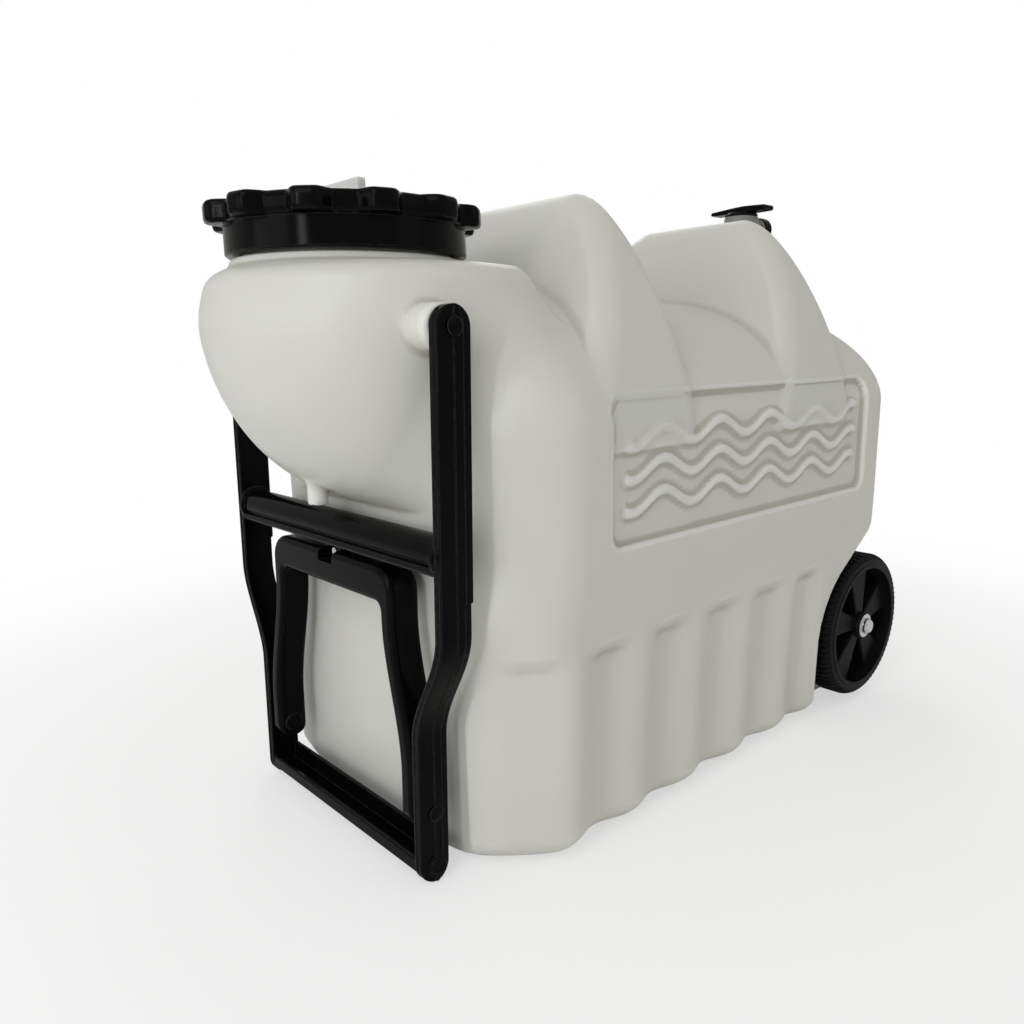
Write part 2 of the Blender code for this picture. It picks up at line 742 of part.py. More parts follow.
SEAL_THICKNESS = 0.0015
TAP_BASE = TAP_NECK_TOP + SEAL_THICKNESS + 2 * FIT_GAP
TAP_TOP = TAP_BASE + TAP_BODY_HEIGHT
BARREL_RADIUS = TAP_BODY_RADIUS - 0.0035
SPOUT_Z = TAP_BASE + 0.0167
SPOUT_RADIUS = 0.0068
SPOUT_BORE = 0.0045
SPOUT_REACH = 0.0290
SPOUT_NUT_RADIUS = 0.0087
SPOUT_NUT_LENGTH = 0.0080
LEVER_TOP = TAP_TOP + 0.0068
LEVER_HALF = 0.0235


def make_tap(black, grey, rubber):
    seal = turned(
        "tap_seal",
        [
            (TAP_NECK_RADIUS - 0.0008, TAP_NECK_TOP + FIT_GAP + SEAL_THICKNESS),
            (TAP_NECK_RADIUS - 0.0008, TAP_NECK_TOP + FIT_GAP),
            (TAP_BORE + 0.0006, TAP_NECK_TOP + FIT_GAP),
            (TAP_BORE + 0.0006, TAP_NECK_TOP + FIT_GAP + SEAL_THICKNESS),
        ],
        32,
    )
    seal.location = (TAP_X, 0.0, 0.0)
    finish(seal, rubber)

    body = turned(
        "tap_body",
        [
            (BARREL_RADIUS, TAP_TOP),
            (TAP_BODY_RADIUS - 0.0008, TAP_TOP),
            (TAP_BODY_RADIUS, TAP_TOP - 0.0008),
            (TAP_BODY_RADIUS, TAP_BASE + 0.003),
            (TAP_NECK_RADIUS - 0.0005, TAP_BASE + 0.003),
            (TAP_NECK_RADIUS - 0.0005, TAP_BASE),
            (BARREL_RADIUS, TAP_BASE),
        ],
        32,
    )
    spout_middle = (SPOUT_REACH + BARREL_RADIUS + 0.001) / 2
    spout_length = SPOUT_REACH - BARREL_RADIUS - 0.001
    spout = cylinder("spout", (spout_middle, 0, SPOUT_Z), SPOUT_RADIUS, spout_length, "X", 24)
    shoulder_x = SPOUT_REACH - SPOUT_NUT_LENGTH - FIT_GAP - 0.0010
    shoulder = cylinder("spout_shoulder", (shoulder_x, 0, SPOUT_Z), SPOUT_RADIUS + 0.001, 0.002, "X", 24)
    combine(body, [spout, shoulder], "UNION")
    barrel_hole = cylinder("barrel_hole", (0, 0, SPOUT_Z), BARREL_RADIUS, 0.06, "Z", 32, CUTTERS)
    port = cylinder("port", (0.02, 0, SPOUT_Z), SPOUT_BORE, 0.04, "X", 20, CUTTERS)
    combine(body, [barrel_hole, port], "DIFFERENCE")
    body.location = (TAP_X, 0.0, 0.0)
    finish(body, grey)

    nut_back = SPOUT_REACH - SPOUT_NUT_LENGTH
    nut = turned(
        "tap_spout_nut",
        [
            (SPOUT_RADIUS + FIT_GAP, SPOUT_REACH + 0.0004),
            (SPOUT_NUT_RADIUS - 0.0010, SPOUT_REACH + 0.0004),
            (SPOUT_NUT_RADIUS, SPOUT_REACH - 0.0006),
            (SPOUT_NUT_RADIUS, nut_back + 0.0006),
            (SPOUT_NUT_RADIUS - 0.0006, nut_back),
            (SPOUT_RADIUS + FIT_GAP, nut_back),
        ],
        24,
    )
    nut.data.transform(Matrix.Rotation(math.pi / 2, 4, "Y"))
    nut.location = (TAP_X, 0.0, SPOUT_Z)
    finish(nut, black, 30)

    collar_top = TAP_BASE + 0.003 + FIT_GAP
    collar = turned(
        "tap_collar",
        [
            (TAP_BODY_RADIUS + FIT_GAP, collar_top + 0.0022),
            (TAP_NECK_RADIUS + 0.0035, collar_top + 0.0022),
            (TAP_NECK_RADIUS + 0.0045, collar_top + 0.0012),
            (TAP_NECK_RADIUS + 0.0045, DECK_HEIGHT + 0.0035),
            (TAP_NECK_RADIUS + FIT_GAP, DECK_HEIGHT + 0.0035),
            (TAP_NECK_RADIUS + FIT_GAP, collar_top),
            (TAP_BODY_RADIUS + FIT_GAP, collar_top),
        ],
        24,
    )
    collar.location = (TAP_X, 0.0, 0.0)
    finish(collar, black, 30)

    barrel_top = TAP_TOP + FIT_GAP
    lever = turned(
        "tap_lever",
        [
            (0.0, LEVER_TOP - 0.004),
            (TAP_BODY_RADIUS - 0.002, LEVER_TOP - 0.004),
            (TAP_BODY_RADIUS - 0.0005, barrel_top + 0.001),
            (TAP_BODY_RADIUS - 0.0005, barrel_top),
            (BARREL_RADIUS - FIT_GAP, barrel_top),
            (BARREL_RADIUS - FIT_GAP, TAP_BASE + 0.001),
            (BARREL_RADIUS - 0.003, TAP_BASE + 0.001),
            (BARREL_RADIUS - 0.003, TAP_TOP - 0.003),
            (0.0, TAP_TOP - 0.003),
        ],
        32,
        closed=False,
    )
    lever_low = LEVER_TOP - 0.0044
    outline = [
        (-LEVER_HALF, LEVER_TOP - 0.0008),
        (-LEVER_HALF, lever_low + 0.0002),
        (-0.0100, lever_low),
        (0.0100, lever_low),
        (LEVER_HALF, lever_low + 0.0002),
        (LEVER_HALF, LEVER_TOP - 0.0018),
        (0.0040, LEVER_TOP - 0.0004),
        (-0.0060, LEVER_TOP),
    ]
    plate = prism("plate", outline, "X", -0.0065, 0.0065)
    bevel = plate.modifiers.new("Edges", "BEVEL")
    bevel.width = 0.0008
    bevel.segments = 1
    apply_modifiers(plate)
    combine(lever, [plate], "UNION")
    window = cylinder("window", (0, 0, SPOUT_Z), SPOUT_BORE, 0.040, "Y", 16, CUTTERS)
    combine(lever, [window], "DIFFERENCE")
    lever.location = (TAP_X, 0.0, 0.0)
    return finish(lever, black)


# Folding handle: a frame hinged at the tank's front, with a grip loop hinged low between its arms

def handle_holder():
    holder = bpy.data.objects.new("handle_pivot", None)
    bpy.data.collections[PARTS].objects.link(holder)
    holder.location = (PIVOT_X, 0.0, PIVOT_HEIGHT)
    holder.rotation_euler = (0.0, HANDLE_LEAN, 0.0)
    return holder


def loft(name, sections, group=PARTS):
    """Solid through matching rings of points."""
    bm = bmesh.new()
    rings = [[bm.verts.new(point) for point in section] for section in sections]
    count = len(rings[0])
    for lower, upper in zip(rings, rings[1:]):
        for index in range(count):
            after = (index + 1) % count
            bm.faces.new((lower[index], lower[after], upper[after], upper[index]))
    bm.faces.new(rings[0])
    bm.faces.new(rings[-1])
    return new_object(name, bm, group)


def arm_levels():
    """Heights of the arm's sections, counted down from the pivot axis."""
    half = ARM_DEPTH / 2
    top = [half * math.sin(math.radians(a)) for a in (85, 65, 45, 25, 0)]
    bend_top = BEND_TOP - PIVOT_HEIGHT
    bend_bottom = BEND_BOTTOM - PIVOT_HEIGHT
    bend = list(np.linspace(bend_top, bend_bottom, 9))
    low = -HANDLE_REACH + half
    bottom = [low - half * math.sin(math.radians(a)) for a in (0, 25, 45, 65, 85)]
    return top + [-0.118, -0.119] + bend + bottom


def arm_reach(level):
    """Half depth of the arm at a level, round at both ends."""
    half = ARM_DEPTH / 2
    low = -HANDLE_REACH + half
    if level > 0:
        return math.sqrt(max(half ** 2 - level ** 2, 0.0))
    if level < low:
        return math.sqrt(max(half ** 2 - (low - level) ** 2, 0.0))
    return half


def make_arm(side):
    sections = []
    for level in arm_levels():
        outer = arm_outer_at(level + PIVOT_HEIGHT)
        inner = outer - ARM_THICKNESS
        reach = arm_reach(level)
        back = reach
        if -HANDLE_REACH + ARM_DEPTH < level < -0.1185:
            back = reach - 0.0012
        edge = min(0.0010, reach * 0.45)
        ring = [
            (-reach, inner + edge),
            (-reach, outer - edge),
            (-reach + edge, outer),
            (back - edge, outer),
            (back, outer - edge),
            (back, inner + edge),
            (back - edge, inner),
            (-reach + edge, inner),
        ]
        sections.append([(x, side * y, level) for x, y in ring])
    return loft("arm", sections)


GRIP_PIN_RADIUS = 0.0025
CROSSBAR_RADIUS = 0.0086
CROSSBAR_Z = -CROSSBAR_DROP
BAR_TOP = -HANDLE_REACH + 0.0150
BAR_BOTTOM = -HANDLE_REACH + 0.0050
GRIP_PIVOT_Z = GRIP_PIVOT_RISE - HANDLE_REACH
TAB_HALF = 0.0060


def make_handle_frame(black):
    frame = make_arm(-1)
    frame.name = "handle_frame"
    joined = [make_arm(1)]
    half = ARM_INNER + 0.002
    joined.append(cylinder("crossbar", (-0.0003, 0, CROSSBAR_Z), CROSSBAR_RADIUS, 2 * half, "Y", 24))
    ridge = CROSSBAR_Z - CROSSBAR_RADIUS
    joined.append(box("ridge", (-0.0085, -half, ridge), (-0.0055, half, ridge + 0.0035)))
    joined.append(box("tab", (-0.0030, -TAB_HALF, CROSSBAR_Z - 0.0165), (0.0030, TAB_HALF, CROSSBAR_Z)))
    bar_half = ARM_LOWER - ARM_THICKNESS + 0.002
    depth = ARM_DEPTH / 2
    joined.append(
        box("bar", (-depth + 0.0004, -bar_half, BAR_BOTTOM), (depth - 0.0016, bar_half, BAR_TOP), bevel=0.0012)
    )
    for side in (-1, 1):
        middle = side * (ARM_LOWER + 0.0002)
        joined.append(
            cylinder("end_boss", (0, middle, -HANDLE_REACH + 0.0100), 0.0060, 0.0020, "Y", 20)
        )
    combine(frame, joined, "UNION")

    pin_hole_radius = PIN_RADIUS + FIT_GAP
    grip_hole_radius = GRIP_PIN_RADIUS + FIT_GAP
    cuts = [
        box(
            "trough",
            (-depth + 0.0030, -bar_half + 0.0040, BAR_BOTTOM + 0.0030),
            (depth - 0.0045, bar_half - 0.0040, BAR_TOP + 0.01),
            CUTTERS,
        )
    ]
    for side in (-1, 1):
        pivot = (0, side * ARM_OUTER, 0)
        low_pivot = (0, side * ARM_LOWER, GRIP_PIVOT_Z)
        cuts.append(cylinder("pin_hole", pivot, pin_hole_radius, 0.03, "Y", 16, CUTTERS))
        cuts.append(cylinder("grip_hole", low_pivot, grip_hole_radius, 0.03, "Y", 16, CUTTERS))
    catch = cylinder("catch_hole", (0, 0, CROSSBAR_Z - 0.0130), 0.0022, 0.02, "X", 16, CUTTERS)
    combine(frame, [*cuts, catch], "DIFFERENCE")

    count = 10
    zigzag_half = bar_half - 0.0045
    points = []
    for index in range(count + 1):
        y = -zigzag_half + 2 * zigzag_half * index / count
        x = -depth + 0.0025 if index % 2 == 0 else depth - 0.0040
        points.append((x, y))
    outline = [(x + 0.0005, y + 0.0006) for x, y in points]
    outline += [(x - 0.0005, y - 0.0006) for x, y in reversed(points)]
    truss = prism("truss", outline, "Z", BAR_BOTTOM + 0.0020, BAR_TOP - 0.0010)
    combine(frame, [truss], "UNION")
    return finish(frame, black, 40)


def grip_outline():
    """Outer half widths and heights of the grip loop, narrow at the top and flaring downward."""
    def flare(height, top, bottom):
        fraction = smooth_step((height - 0.018) / 0.075)
        return float(bottom + (top - bottom) * fraction)

    top_half = GRIP_TOP_SPREAD / 2
    low_half = GRIP_SPREAD / 2
    heights = np.linspace(-0.0090, GRIP_LENGTH - 0.022, 12)
    outer = [(flare(h, top_half, low_half), float(h)) for h in heights]
    corner = 0.0130
    outer += arc((top_half - corner, GRIP_LENGTH - corner), corner, 0, 90, 6)
    inner = [(flare(h, top_half, low_half) - GRIP_BAR, float(h)) for h in heights]
    inner_top = GRIP_LENGTH - 0.0180
    inner += [(top_half - GRIP_BAR - 0.0002, inner_top - 0.003), (top_half - GRIP_BAR - 0.003, inner_top)]
    left = [(-y, z) for y, z in outer]
    left_inner = [(-y, z) for y, z in inner]
    return outer + list(reversed(left)) + left_inner + list(reversed(inner))


def make_grip(black):
    half = ARM_DEPTH / 2 - 0.0003
    loop = prism("grip_loop", grip_outline(), "X", -half, half)
    profile = [(-half, GRIP_LENGTH + 0.01)]
    profile += arc((0, 0), half, 180, 360, 13)
    profile += [(half, GRIP_LENGTH + 0.01)]
    side_shape = prism("side_shape", profile, "Y", -0.1, 0.1, CUTTERS)
    combine(loop, [side_shape], "INTERSECT")
    notch = box(
        "notch",
        (-0.02, -TAB_HALF - 0.0012, GRIP_LENGTH - 0.0065),
        (0.02, TAB_HALF + 0.0012, GRIP_LENGTH + 0.01),
        CUTTERS,
    )
    holes = [notch]
    for side in (-1, 1):
        middle = side * (GRIP_SPREAD / 2 - 0.0015)
        radius = GRIP_PIN_RADIUS + FIT_GAP
        holes.append(cylinder("pin_hole", (0, middle, 0), radius, 0.009, "Y", 16, CUTTERS))
    combine(loop, holes, "DIFFERENCE")
    bevel = loop.modifiers.new("Edges", "BEVEL")
    bevel.width = 0.0010
    bevel.segments = 1
    bevel.limit_method = "ANGLE"
    bevel.angle_limit = math.radians(50)
    apply_modifiers(loop)
    return finish(loop, black, 40)


def make_handle(black, pale, steel):
    holder = handle_holder()
    frame = make_handle_frame(black)
    loop = make_grip(black)
    loop.location = (0.0, 0.0, GRIP_PIVOT_Z)
    catch = cylinder("grip_catch", (0, 0, 0), 0.0022 - FIT_GAP, 0.0064, "X", 16)
    catch.location = (0.0, 0.0, CROSSBAR_Z - 0.0130)
    finish(catch, pale)
    pieces = [frame, loop, catch]
    for side, word in ((-1, "left"), (1, "right")):
        washer = turned(
            f"handle_washer_{word}",
            [
                (0.0085, WASHER_THICKNESS / 2),
                (0.0085, -WASHER_THICKNESS / 2),
                (PIN_RADIUS + FIT_GAP, -WASHER_THICKNESS / 2),
                (PIN_RADIUS + FIT_GAP, WASHER_THICKNESS / 2),
            ],
            24,
        )
        washer.data.transform(Matrix.Rotation(math.pi / 2, 4, "X"))
        washer.location = (0.0, side * (BOSS_END + FIT_GAP + WASHER_THICKNESS / 2), 0.0)
        finish(washer, steel)
        shank = ARM_OUTER + FIT_GAP - BOSS_END + 0.0070
        pin = turned(
            f"handle_pin_{word}",
            [
                (0.0, 0.0016),
                (0.0046, 0.0016),
                (0.0056, 0.0006),
                (0.0056, FIT_GAP),
                (PIN_RADIUS, FIT_GAP),
                (PIN_RADIUS, -shank + 0.0005),
                (PIN_RADIUS - 0.0005, -shank),
                (0.0, -shank),
            ],
            16,
            closed=False,
        )
        pin.data.transform(Matrix.Rotation(-side * math.pi / 2, 4, "X"))
        pin.location = (0.0, side * ARM_OUTER, 0.0)
        finish(pin, black)
        grip_pin = turned(
            f"grip_pin_{word}",
            [
                (0.0, 0.0012),
                (0.0036, 0.0012),
                (0.0042, 0.0006),
                (0.0042, FIT_GAP),
                (GRIP_PIN_RADIUS, FIT_GAP),
                (GRIP_PIN_RADIUS, -0.0125),
                (0.0, -0.0125),
            ],
            16,
            closed=False,
        )
        grip_pin.data.transform(Matrix.Rotation(-side * math.pi / 2, 4, "X"))
        grip_pin.location = (0.0, side * ARM_LOWER, GRIP_PIVOT_Z)
        finish(grip_pin, black)
        pieces += [washer, pin, grip_pin]
    for piece in pieces:
        piece.parent = holder
    return pieces


# Axle, wheels and their fasteners

HUB_RADIUS = 0.0095
HUB_SETBACK = 0.0010
RIM_INNER = WHEEL_RADIUS - 0.0105
SPOKES = 5
SPOKE_ANGLE = math.radians(18)
LUGS = 24


def make_wheel(side, word, black):
    """Moulded wheel with a lugged tread, turned about Z before it is laid on its axle."""
    half = WHEEL_WIDTH / 2
    wheel = turned(
        f"wheel_{word}",
        [
            (WHEEL_RADIUS - 0.0020, half - 0.0010),
            (WHEEL_RADIUS - 0.0012, half - 0.0025),
            (WHEEL_RADIUS - 0.0012, -half + 0.0025),
            (WHEEL_RADIUS - 0.0020, -half + 0.0010),
            (RIM_INNER + 0.0020, -half),
            (RIM_INNER, -half + 0.0015),
            (RIM_INNER, half - 0.0015),
            (RIM_INNER + 0.0020, half),
        ],
        LUGS,
    )
    hub_length = WHEEL_WIDTH - HUB_SETBACK
    joined = [cylinder("hub", (0, 0, -HUB_SETBACK / 2), HUB_RADIUS, hub_length, "Z", 20)]
    for index in range(SPOKES):
        turn = SPOKE_ANGLE + 2 * math.pi * index / SPOKES
        narrow = 0.0045
        wide = 0.0085
        outline = [(0.004, -narrow), (RIM_INNER + 0.001, -wide), (RIM_INNER + 0.001, wide), (0.004, narrow)]
        spoke = prism("spoke", outline, "Z", -0.0055, 0.0065)
        spoke.data.transform(Matrix.Rotation(turn, 4, "Z"))
        joined.append(spoke)
    web = cylinder("web", (0, 0, -0.0040), RIM_INNER + 0.001, 0.0030, "Z", 30)
    joined.append(web)
    for index in range(LUGS):
        turn = 2 * math.pi * (index + 0.5) / LUGS
        reach = WHEEL_RADIUS - 0.0030
        lug = box("lug", (reach, -0.0026, -half + 0.0035), (WHEEL_RADIUS, 0.0026, half - 0.0035))
        lug.data.transform(Matrix.Rotation(turn, 4, "Z"))
        joined.append(lug)
    combine(wheel, joined, "UNION")
    bore = cylinder("bore", (0, 0, 0), AXLE_RADIUS + FIT_GAP, 0.05, "Z", 20, CUTTERS)
    combine(wheel, [bore], "DIFFERENCE")
    wheel.data.transform(Matrix.Rotation(-side * math.pi / 2, 4, "X"))
    wheel.location = (WHEEL_X, side * (TRACK_OUTER / 2 - half), WHEEL_Z)
    return finish(wheel, black, 35)


def make_running_gear(black, steel, bright):
    axle = cylinder("axle", (0, 0, 0), AXLE_RADIUS, AXLE_LENGTH, "Y", 20)
    axle.location = (WHEEL_X, 0.0, WHEEL_Z)
    finish(axle, steel)
    for side, word in ((-1, "left"), (1, "right")):
        make_wheel(side, word, black)
        inner_face = TRACK_OUTER / 2 - WHEEL_WIDTH
        washer = turned(
            f"axle_washer_{word}",
            [
                (0.0090, 0.0008),
                (0.0090, -0.0008),
                (AXLE_RADIUS + FIT_GAP, -0.0008),
                (AXLE_RADIUS + FIT_GAP, 0.0008),
            ],
            20,
        )
        washer.data.transform(Matrix.Rotation(math.pi / 2, 4, "X"))
        middle = (ARCH_DEPTH_Y + inner_face) / 2
        washer.location = (WHEEL_X, side * middle, WHEEL_Z)
        finish(washer, steel)
        nut = turned(
            f"push_nut_{word}",
            [
                (0.0, 0.0050),
                (0.0042, 0.0046),
                (0.0056, 0.0030),
                (0.0058, 0.0010),
                (0.0085, 0.0008),
                (0.0085, 0.0),
                (AXLE_RADIUS + FIT_GAP, 0.0),
                (AXLE_RADIUS + FIT_GAP, 0.0040),
                (0.0, 0.0040),
            ],
            20,
            closed=False,
        )
        nut.data.transform(Matrix.Rotation(-side * math.pi / 2, 4, "X"))
        nut.location = (WHEEL_X, side * (TRACK_OUTER / 2 - HUB_SETBACK + FIT_GAP), WHEEL_Z)
        finish(nut, bright, 30)


def build():
    clear_scene()
    milky = material("milky_polyethylene", (0.78, 0.78, 0.74), 0.32)
    black = material("black_plastic", (0.012, 0.012, 0.013), 0.30)
    pale = material("pale_plastic", (0.70, 0.70, 0.68), 0.35)
    grey = material("grey_plastic", (0.30, 0.30, 0.30), 0.40)
    rubber = material("seal_rubber", (0.05, 0.05, 0.05), 0.70)
    steel = material("axle_steel", (0.55, 0.55, 0.56), 0.30, 1.0)
    bright = material("bright_steel", (0.75, 0.75, 0.76), 0.18, 1.0)
    make_tank(milky)
    make_cap(black)
    make_gasket(rubber)
    make_vent(pale, rubber)
    make_tap(black, grey, rubber)
    make_handle(black, pale, steel)
    make_running_gear(black, steel, bright)


build()
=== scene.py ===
"""Looks of the rolling water container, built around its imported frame."""

import json
import math

import bmesh
import bpy
import numpy as np
from mathutils import Matrix, Vector


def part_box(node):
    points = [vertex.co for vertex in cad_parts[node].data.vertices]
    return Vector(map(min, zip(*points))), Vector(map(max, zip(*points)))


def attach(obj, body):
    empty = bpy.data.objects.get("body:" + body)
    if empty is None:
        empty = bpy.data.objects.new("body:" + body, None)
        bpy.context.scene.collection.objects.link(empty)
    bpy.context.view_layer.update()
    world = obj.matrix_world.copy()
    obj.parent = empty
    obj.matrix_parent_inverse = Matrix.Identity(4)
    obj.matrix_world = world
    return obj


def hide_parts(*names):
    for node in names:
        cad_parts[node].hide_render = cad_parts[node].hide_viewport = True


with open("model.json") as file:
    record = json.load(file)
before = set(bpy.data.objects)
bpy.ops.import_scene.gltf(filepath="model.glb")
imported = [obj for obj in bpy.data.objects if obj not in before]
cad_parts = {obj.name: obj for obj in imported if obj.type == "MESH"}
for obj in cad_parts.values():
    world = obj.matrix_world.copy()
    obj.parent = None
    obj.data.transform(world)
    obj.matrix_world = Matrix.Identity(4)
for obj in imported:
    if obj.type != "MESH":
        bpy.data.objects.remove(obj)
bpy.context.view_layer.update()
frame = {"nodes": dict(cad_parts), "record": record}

# The tank is one blow-moulding in milky polyethylene, with soft edges everywhere and a slightly wavy skin.
# Its shape is a field that is negative inside the plastic. The mesh is laid where the field is zero.

tank_low, tank_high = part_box("tank")
cap_low, cap_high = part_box("filler_cap")
axle_low, axle_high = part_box("axle")
collar_low, collar_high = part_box("tap_collar")
pin_low, pin_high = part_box("handle_pin_left")

FRONT_X = tank_low.x
BODY_REAR = tank_high.x
HALF_WIDTH = 0.123
HOOP_HEIGHT = 0.3375
NECK_X = (cap_low.x + cap_high.x) / 2
TAP_X = (collar_low.x + collar_high.x) / 2
WHEEL_X = (axle_low.x + axle_high.x) / 2
WHEEL_Z = (axle_low.z + axle_high.z) / 2
PIVOT_X = (pin_low.x + pin_high.x) / 2
PIVOT_Z = (pin_low.z + pin_high.z) / 2

TANK_LENGTH = 0.363
BODY_FRONT = BODY_REAR - TANK_LENGTH
DECK_HEIGHT = 0.291
SHOULDER_HEIGHT = 0.215
WALL = 0.0060
CHIN_TOP = DECK_HEIGHT - 0.024
CHIN_DROP = 0.089
CHIN_LOW = CHIN_TOP - CHIN_DROP
CHIN_CENTRE_X = FRONT_X + 0.089
CHIN_HALF_WIDTH = 0.0890
CHIN_TIP_LENGTH = 0.015
CHIN_TIP_WIDTH = 0.045
CHIN_POWER = 1.85
CHIN_EDGE = 0.009
CHIN_TAPER = 0.0075
CHIN_TAPER_START = DECK_HEIGHT - 0.030
CHIN_FILLET = 0.016
CHIN_BACK_X = CHIN_CENTRE_X + 0.03
FRONT_UPPER_X = BODY_FRONT + 0.001
FRONT_LOWER_X = BODY_FRONT - 0.007
FRONT_CORNER = 0.050
REAR_CORNER = 0.035
BASE_EDGE = 0.018
LOWER_INSET = 0.004
LOWER_INSET_TOP = 0.16
FRONT_STEP_LOW = 0.12
FRONT_STEP_HEIGHT = 0.04
CORNER_CHANGE = 0.1
FLUTE_COUNT = 5
FLUTE_PITCH = 0.047
FLUTE_START = BODY_FRONT + 0.043
FLUTE_DEPTH = 0.0056
FLUTE_SHARPNESS = 2.4
FLUTE_TOP = 0.115
FLUTE_FADE = 0.010
FLUTE_ROW_FADE = 0.4
FLUTE_ROW_REACH = 0.9
DECK_STEP = 0.010
DECK_STEP_LENGTH = 0.02
DECK_POWER = 1.8
HOOP_RIDGES = (BODY_FRONT + 0.1208, BODY_FRONT + 0.2823)
HOOP_CROWN = 0.011
HOOP_FRONT_SLOPE = 0.6
HOOP_FLAT_HALF = 0.040
HOOP_POWER = 1.42
RIDGE_ROUNDING = 0.013
REAR_ROUNDING = 0.010
HOOP_FILLET = 0.003
HOOP_FOOT = SHOULDER_HEIGHT - 0.010
HOOP_INSET = 0.0012


def smooth_step(value):
    """Smooth rise from 0 to 1 while a value goes from 0 to 1."""
    value = np.clip(value, 0.0, 1.0)
    return value * value * (3.0 - 2.0 * value)


def round_max(first, second, radius):
    """Intersection of two fields with a rounded edge."""
    inner = np.minimum(np.maximum(first, second), -radius)
    outer = np.hypot(np.maximum(first + radius, 0.0), np.maximum(second + radius, 0.0))
    return inner + outer


def round_min(first, second, radius):
    """Union of two fields with a fillet between them."""
    return -round_max(-first, -second, radius)


def arch_field(y, z, half_width, flat_half, top, power):
    """Cross-section with straight sides up to the shoulder and a round top, flat in its middle."""
    rise = top - SHOULDER_HEIGHT
    lift = np.maximum(z - SHOULDER_HEIGHT, 0.0) / rise
    across = np.maximum(np.abs(y) - flat_half, 0.0) / (half_width - flat_half)
    return ((across ** power + lift ** power) ** (1.0 / power) - 1.0) * rise


def side_width(x, z):
    """Half width of the body, with the upright flutes of its lower part."""
    width = HALF_WIDTH - LOWER_INSET * (1.0 - smooth_step(z / LOWER_INSET_TOP))
    phase = (x - FLUTE_START) / FLUTE_PITCH
    along = np.clip(phase, -0.5, FLUTE_COUNT - 0.5)
    dip = 1.0 - np.abs(np.cos(math.pi * along)) ** FLUTE_SHARPNESS
    from_last = FLUTE_COUNT - 1 - phase
    in_row = smooth_step((phase + FLUTE_ROW_REACH) / FLUTE_ROW_FADE)
    in_row = in_row * smooth_step((from_last + FLUTE_ROW_REACH) / FLUTE_ROW_FADE)
    in_height = 1.0 - smooth_step((z - FLUTE_TOP + FLUTE_FADE) / FLUTE_FADE)
    return width - FLUTE_DEPTH * dip * in_row * in_height


def body_field(x, y, z):
    """Body, nose and humps, before anything is pressed into them."""
    width = side_width(x, z)
    deck = DECK_HEIGHT - DECK_STEP * smooth_step((x - HOOP_RIDGES[0]) / DECK_STEP_LENGTH)
    section = arch_field(y, z, width, 0.0, deck, DECK_POWER)
    above_step = smooth_step((z - FRONT_STEP_LOW) / FRONT_STEP_HEIGHT)
    front_x = FRONT_LOWER_X + (FRONT_UPPER_X - FRONT_LOWER_X) * above_step
    corner = FRONT_CORNER + (REAR_CORNER - FRONT_CORNER) * smooth_step(x / CORNER_CHANGE)
    body = round_max(section, np.maximum(front_x - x, x - BODY_REAR), corner)
    body = round_max(body, -z, BASE_EDGE)

    drop = np.clip((CHIN_TOP - z) / CHIN_DROP, 0.0, 1.0)
    reach = (1.0 - drop ** CHIN_POWER) ** (1.0 / CHIN_POWER)
    near_top = np.clip((z - CHIN_TAPER_START) / (DECK_HEIGHT - CHIN_TAPER_START), 0.0, 1.0)
    taper = CHIN_TAPER * near_top ** 2
    half_length = CHIN_TIP_LENGTH + (CHIN_CENTRE_X - FRONT_X - CHIN_TIP_LENGTH) * reach - taper
    half_side = CHIN_TIP_WIDTH + (CHIN_HALF_WIDTH - CHIN_TIP_WIDTH) * reach - taper
    ring = np.sqrt(((x - CHIN_CENTRE_X) / half_length) ** 2 + (y / half_side) ** 2)
    chin = (ring - 1.0) * np.minimum(half_length, half_side)
    chin = round_max(chin, z - DECK_HEIGHT, CHIN_EDGE)
    chin = np.maximum(chin, x - CHIN_BACK_X)
    chin = np.maximum(chin, CHIN_LOW - z)
    body = round_min(body, chin, CHIN_FILLET)

    below = HOOP_HEIGHT - z
    arch = arch_field(y, z, width - HOOP_INSET, HOOP_FLAT_HALF, HOOP_HEIGHT, HOOP_POWER)
    arch = np.maximum(arch, HOOP_FOOT - z)
    for ridge in HOOP_RIDGES:
        front = (ridge - below * HOOP_FRONT_SLOPE - x) / math.hypot(1.0, HOOP_FRONT_SLOPE)
        hoop = round_max(arch, front, RIDGE_ROUNDING)
        hoop = round_max(hoop, x - ridge - HOOP_CROWN, REAR_ROUNDING)
        body = round_min(body, hoop, HOOP_FILLET)
    return body


ARM_OUTER = pin_low.y * -1.0 - 0.0016
ARM_LOWER = ARM_OUTER - 0.0202
ARM_THICKNESS = 0.0065
BEND_TOP = 0.129
BEND_BOTTOM = 0.075
BOSS_END = ARM_OUTER - ARM_THICKNESS - 0.0014
BOSS_RADIUS = 0.010
RECESS_TOP = 0.162
RECESS_FLOOR_X = BODY_FRONT + 0.003
RECESS_CLEARANCE = 0.003
SLOT_BACK = PIVOT_X + 0.0105
SLOT_TOP = PIVOT_Z + 0.013
SLOT_BOTTOM = 0.120
SLOT_INNER = BOSS_END + 0.0003
SLOT_OUTER = ARM_OUTER + 0.0025
SLOT_EDGE = 0.0015
POCKET_EDGE = 0.0035
POCKET_FILLET = 0.003
WHEEL_POCKET = 0.056
WHEEL_POCKET_SLOPE = math.radians(35)
WHEEL_POCKET_Y = 0.096
PLATE_LOW = (BODY_FRONT + 0.066, 0.1590)
PLATE_HIGH = (BODY_REAR - 0.0500, 0.2300)
PLATE_DEPTH = 0.0022
PLATE_CORNER = 0.007
PLATE_EDGE = 0.0008
PLATE_LIP = 0.0012
PLATE_INNERMOST = HALF_WIDTH - 0.014
WAVE_HEIGHT = 0.0018
